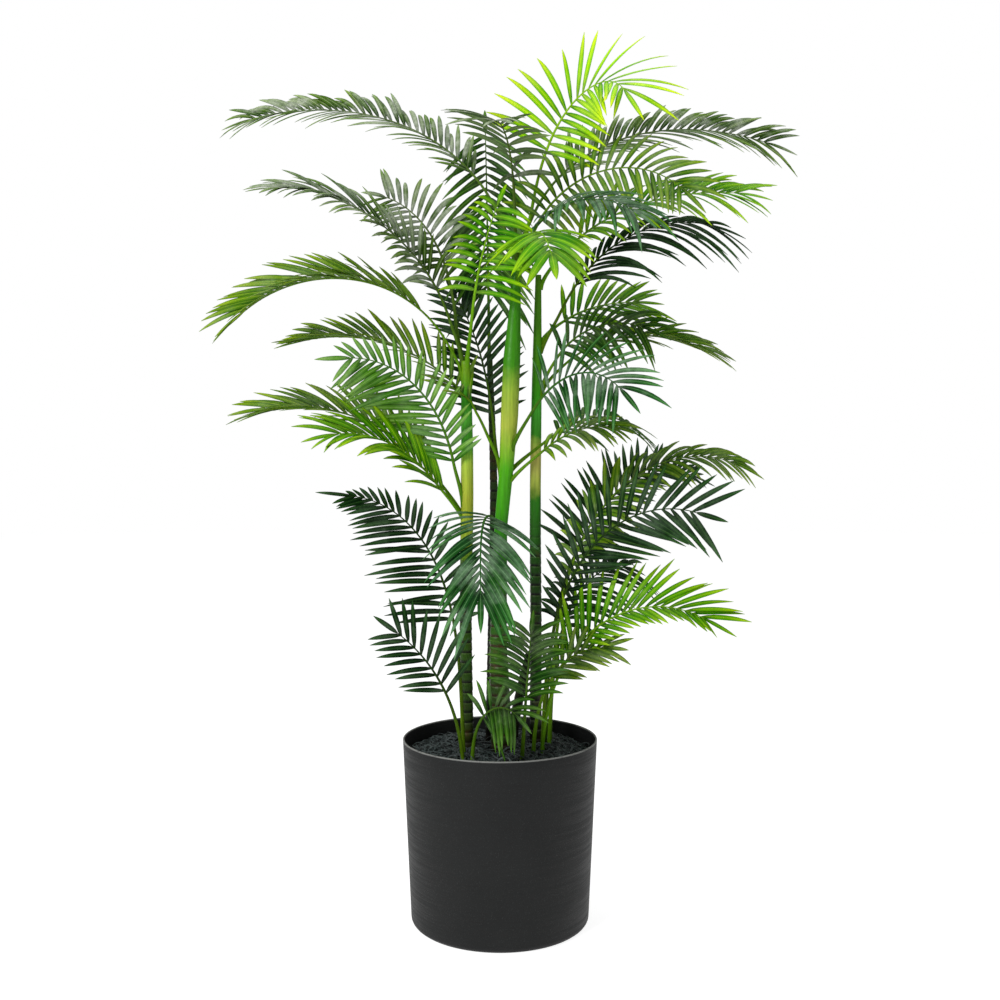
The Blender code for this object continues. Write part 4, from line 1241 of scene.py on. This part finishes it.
FRONDS = (
    Frond("top_1", Root.CENTRE, 1.355, 350, 81, -52, 2.8, -46, 0.47, 0.44, 0.165, Shade.BRIGHT, Finish.LIME,
          face=16, turn=22, lift=6, droop=0.22, angles=(80, 40), young=0.95, rows=(1.0, 0.66)),
    Frond("top_2", Root.CENTRE, 1.335, 262, 88, -20, 2.4, -10, 0.34, 0.50, 0.135, Shade.OLIVE, Finish.SLATE,
          face=60, lift=12, droop=0.30, angles=(80, 40), rows=(0.8, 1.1)),
    Frond("top_3", Root.BACK, 1.130, 98, 86, 80, 1.0, 0, 0.52, 0.34, 0.125, Shade.DARK, Finish.FOREST,
          face=5, lift=8, droop=0.35, angles=(132, 112), young=0.9),
    Frond("left_1", Root.CENTRE, 1.355, 152, 88, -11, 0.7, 18, 0.75, 0.26, 0.140, Shade.OLIVE, Finish.SLATE,
          face=60, turn=-14, lift=22, droop=0.26, angles=(46, 40), rows=(0.85, 1.0)),
    Frond("left_2", Root.LEFT, 1.140, 194, 88, -8, 1.0, 26, 0.55, 0.28, 0.145, Shade.OLIVE, Finish.SLATE,
          face=56, turn=8, lift=22, droop=0.30, angles=(52, 26), last=0.5),
    Frond("left_3", Root.LEFT, 1.135, 158, 88, 20, 2.0, 4, 0.42, 0.48, 0.115, Shade.MIDDLE, Finish.SLATE,
          face=26, lift=14, droop=0.32, angles=(72, 46), rows=(0.8, 1.1)),
    Frond("left_4", Root.LEFT, 1.110, 202, 88, -41, 0.8, -5, 0.54, 0.29, 0.140, Shade.OLIVE, Finish.OLIVE,
          face=74, turn=-18, lift=30, droop=0.16, angles=(40, 26), rows=(1.0, 0.95)),
    Frond("left_5", Root.CENTRE, 0.920, 178, 88, -12, 0.9, 5, 0.53, 0.30, 0.130, Shade.OLIVE, Finish.OLIVE,
          face=60, turn=10, lift=30, droop=0.16, angles=(60, 20), last=0.55),
    Frond("left_6", Root.LEFT, 0.855, 212, 86, -4, 1.5, 0, 0.42, 0.20, 0.145, Shade.MIDDLE, Finish.FRESH,
          face=6, turn=12, lift=6, droop=0.10, angles=(62, 42), young=0.85, last=0.5, rows=(1.05, 0.62)),
    Frond("left_7", Root.LEFT, 0.832, 182, 71, -11, 1.0, 7, 0.47, 0.28, 0.145, Shade.OLIVE, Finish.OLIVE,
          face=66, lift=28, droop=0.18, angles=(50, 22)),
    Frond("left_8", Root.LEFT, 0.830, 208, 60, -8, 1.4, 10, 0.34, 0.18, 0.150, Shade.BRIGHT, Finish.BRIGHT,
          face=54, lift=22, droop=0.22, angles=(34, 30), young=0.9, last=0.6, wide=1.2),
    Frond("left_9", Root.FOOT, 0, 193, 88, 6, 3.0, 0, 0.65, 0.46, 0.145, Shade.DARK, Finish.NIGHT,
          face=18, turn=30, lift=8, droop=0.10, angles=(76, 30), young=0.85, last=0.3, rows=(1.0, 0.55),
          foot=(-0.072, -0.062)),
    Frond("left_10", Root.FOOT, 0, 196, 88, 38, 1.2, 0, 0.33, 0.50, 0.120, Shade.DARK, Finish.NIGHT,
          face=14, lift=8, droop=0.10, angles=(62, 36), young=0.9, rows=(0.75, 1.0), foot=(-0.072, -0.094),
          pitch=0.0180),
    Frond("back_1", Root.CENTRE, 0.895, 136, 88, 54, 1.4, 3, 0.42, 0.34, 0.115, Shade.DARK, Finish.NIGHT,
          face=10, lift=10, droop=0.14, angles=(66, 34)),
    Frond("front_1", Root.CENTRE, 1.300, 282, 66, -52, 0.9, 2, 0.30, 0.34, 0.105, Shade.BRIGHT, Finish.BRIGHT,
          face=42, lift=4, droop=0.40, angles=(90, 40), young=0.95, wide=1.6),
    Frond("front_2", Root.CENTRE, 1.345, 310, 88, -32, 0.6, 12, 0.33, 0.20, 0.120, Shade.DARK, Finish.TEAL,
          face=60, lift=12, droop=0.36, angles=(64, 34)),
    Frond("front_3", Root.LEFT, 1.135, 296, 88, 52, 1.0, 8, 0.33, 0.44, 0.105, Shade.BRIGHT, Finish.BRIGHT,
          face=14, lift=8, droop=0.34, angles=(78, 56), young=0.9, rows=(0.8, 1.05)),
    Frond("front_4", Root.CENTRE, 0.967, 313, 64, -40, 1.4, -4, 0.36, 0.36, 0.130, Shade.DARK, Finish.TEAL,
          face=30, lift=8, droop=0.24, angles=(70, 40)),
    Frond("front_5", Root.CENTRE, 0.815, 254, 34, -84, 1.0, 20, 0.31, 0.24, 0.125, Shade.MIDDLE, Finish.TEAL,
          face=34, turn=-20, lift=2, droop=0.34, angles=(76, 30), young=0.85, wide=1.2),
    Frond("front_6", Root.FOOT, 0, 285, 80, 74, 1.0, 0, 0.30, 0.54, 0.120, Shade.OLIVE, Finish.FOREST,
          face=26, lift=12, droop=0.34, angles=(54, 40), foot=(0.042, -0.098), pitch=0.0120),
    Frond("front_7", Root.FOOT, 0, 320, 88, -40, 2.4, 10, 0.21, 0.58, 0.090, Shade.DARK, Finish.FOREST,
          face=40, lift=10, droop=0.34, angles=(84, 44), young=0.95, foot=(-0.056, -0.096)),
    Frond("right_1", Root.CENTRE, 1.360, 36, 88, -17, 0.7, -34, 0.70, 0.28, 0.135, Shade.OLIVE, Finish.SLATE,
          face=56, turn=-18, lift=20, droop=0.24, angles=(48, 42)),
    Frond("right_2", Root.CENTRE, 1.315, 341, 88, -44, 1.1, -2, 0.45, 0.26, 0.125, Shade.MIDDLE, Finish.OLIVE,
          face=26, lift=10, droop=0.30, angles=(84, 50), young=0.85, rows=(1.0, 0.7)),
    Frond("right_3", Root.RIGHT, 1.300, 345, 88, -7, 0.5, 3, 0.46, 0.26, 0.135, Shade.BRIGHT, Finish.BRIGHT,
          face=52, lift=20, droop=0.34, angles=(56, 34)),
    Frond("right_4", Root.RIGHT, 1.170, 0, 72, -13, 1.5, -8, 0.46, 0.32, 0.165, Shade.DARK, Finish.NIGHT,
          face=46, lift=14, droop=0.42, angles=(40, 28), young=0.95, rows=(0.55, 1.0), wide=0.85),
    Frond("right_5", Root.RIGHT, 1.185, 20, 88, 1, 0.4, -5, 0.24, 0.26, 0.130, Shade.BRIGHT, Finish.BRIGHT,
          face=44, lift=10, droop=0.14, angles=(56, 30)),
    Frond("right_6", Root.RIGHT, 1.075, 2, 88, -22, 0.6, 2, 0.38, 0.30, 0.130, Shade.OLIVE, Finish.OLIVE,
          face=66, lift=22, droop=0.26, angles=(48, 24)),
    Frond("right_7", Root.RIGHT, 1.075, 335, 88, -20, 1.0, 4, 0.29, 0.34, 0.125, Shade.DARK, Finish.FOREST,
          face=42, lift=10, droop=0.36, angles=(64, 40)),
    Frond("right_8", Root.CENTRE, 0.927, 22, 46, -23, 1.4, 26, 0.35, 0.34, 0.125, Shade.OLIVE, Finish.FOREST,
          face=50, lift=16, droop=0.36, angles=(54, 34), rows=(0.7, 0.9)),
    Frond("right_9", Root.CENTRE, 0.905, 342, 51, -8, 1.6, -6, 0.24, 0.34, 0.100, Shade.BRIGHT, Finish.OLIVE,
          face=60, lift=16, droop=0.40, angles=(54, 30)),
    Frond("right_10", Root.FOOT, 0, 24, 88, -20, 2.2, 10, 0.84, 0.52, 0.145, Shade.DARK, Finish.NIGHT,
          face=24, turn=24, lift=10, droop=0.12, angles=(72, 30), young=0.95, last=0.5, rows=(0.9, 0.6),
          foot=(0.094, 0.058)),
    Frond("right_11", Root.FOOT, 0, 322, 88, -16, 2.3, 10, 0.72, 0.42, 0.125, Shade.MIDDLE, Finish.NIGHT,
          face=4, lift=4, droop=0.06, angles=(58, 40), young=0.34, last=0.9,
          foot=(0.086, -0.022), pitch=0.0200),
    Frond("right_12", Root.FOOT, 0, 353, 88, -23, 2.6, -8, 0.85, 0.46, 0.125, Shade.BRIGHT, Finish.OLIVE,
          face=58, lift=18, droop=0.42, angles=(54, 32), young=0.40, last=0.45, foot=(0.101, 0.016)),
    Frond("right_13", Root.FOOT, 0, 44, 88, -12, 2.5, -8, 0.51, 0.54, 0.125, Shade.DARK, Finish.NIGHT,
          face=44, lift=12, droop=0.46, angles=(60, 34), foot=(0.104, 0.040)),
    Frond("right_14", Root.FOOT, 0, 341, 88, -28, 1.6, 6, 0.55, 0.42, 0.140, Shade.BRIGHT, Finish.BRIGHT,
          face=32, turn=20, lift=10, droop=0.12, angles=(50, 30), young=0.9, rows=(1.05, 0.5),
          foot=(0.084, -0.044)),
    Frond("right_15", Root.FOOT, 0, 342, 88, -2, 2.1, 4, 0.33, 0.58, 0.090, Shade.MIDDLE, Finish.OLIVE,
          face=40, lift=12, droop=0.16, angles=(50, 28), foot=(0.066, -0.056)),
)


# ---------------------------------------------------------------- studio


@dataclass
class Studio:
    """The floor, the soft light and the camera."""

    eye: tuple[float, float, float] = (0.0, -2.36, 0.944)
    tilt: float = 88.144
    lens: float = 41.4
    floor_radius: float = 14.0
    world_light: float = 0.26

    def add_light(self, name: str, place: tuple, size: float, power: float, aim: tuple) -> None:
        """A square soft light, aimed at a point."""
        data = bpy.data.lights.new(name, "AREA")
        data.size = size
        data.energy = power
        light = bpy.data.objects.new(name, data)
        light.location = place
        light.rotation_euler = (Vector(aim) - Vector(place)).to_track_quat("-Z", "Y").to_euler()
        light.visible_camera = False
        bpy.context.scene.collection.objects.link(light)

    def add_floor(self) -> None:
        """A wide pale floor."""
        let_go()
        bpy.ops.mesh.primitive_circle_add(
            vertices=96, radius=self.floor_radius, fill_type="NGON", location=(0, 0, 0)
        )
        floor = bpy.context.object
        floor.name = "floor"
        material, board = new_material("floor_pale")
        grain = board.noise(board.object_place(), 30.0)
        board.surface({
            "Base Color": board.mix(grain, (0.40, 0.40, 0.40, 1.0), (0.44, 0.44, 0.44, 1.0)),
            "Roughness": 0.9,
            "Emission Color": (1.0, 1.0, 1.0, 1.0),
            "Emission Strength": 0.88,
        })
        floor.data.materials.append(material)

    def add_world(self) -> None:
        """White surroundings, which light the plant more softly than they show."""
        world = bpy.data.worlds.new("surroundings")
        bpy.context.scene.world = world
        world.use_nodes = True
        world.node_tree.nodes.clear()
        board = Board(world.node_tree)
        seen = board.lay("LightPath").outputs["Is Camera Ray"]
        strength = board.fade(seen, 0.0, 1.0, self.world_light, 1.0)
        back = board.lay("Background", {"Color": (1.0, 1.0, 1.0, 1.0), "Strength": strength})
        board.lay("OutputWorld", {"Surface": back.outputs[0]})

    def add_camera(self) -> None:
        """The camera, level with the middle of the plant."""
        data = bpy.data.cameras.new("camera")
        data.lens = self.lens
        data.sensor_width = 36.0
        camera = bpy.data.objects.new("camera", data)
        camera.location = self.eye
        camera.rotation_euler = (math.radians(self.tilt), 0.0, 0.0)
        bpy.context.scene.collection.objects.link(camera)
        bpy.context.scene.camera = camera

    def build(self) -> None:
        """Sets up the whole studio."""
        self.add_camera()
        self.add_floor()
        self.add_world()
        self.add_light("key", (-2.4, -2.8, 3.0), 1.3, 125.0, (0.0, 0.0, 1.0))
        self.add_light("top", (0.2, 0.4, 4.2), 1.8, 52.0, (0.0, 0.0, 1.0))
        self.add_light("fill", (2.8, -2.2, 1.7), 2.0, 5.0, (0.0, 0.0, 0.9))
        bpy.context.scene.view_settings.view_transform = "Standard"


def main() -> None:
    """Builds the plant in its studio."""
    logging.basicConfig(level=logging.INFO, format="%(message)s")
    Studio().build()
    effects = Effects()
    canes = Canes()
    Pot().build(effects)
    TopLayer().build(canes, effects)
    canes.build(effects)
    patterns = Patterns()
    materials = {finish: finish.value.material(effects) for finish in {frond.finish for frond in FRONDS}}
    for number, frond in enumerate(FRONDS):
        frond.build(number, patterns, canes, materials)
    discard(patterns.leaflet, patterns.stalk)


if __name__ == "__main__":
    main()
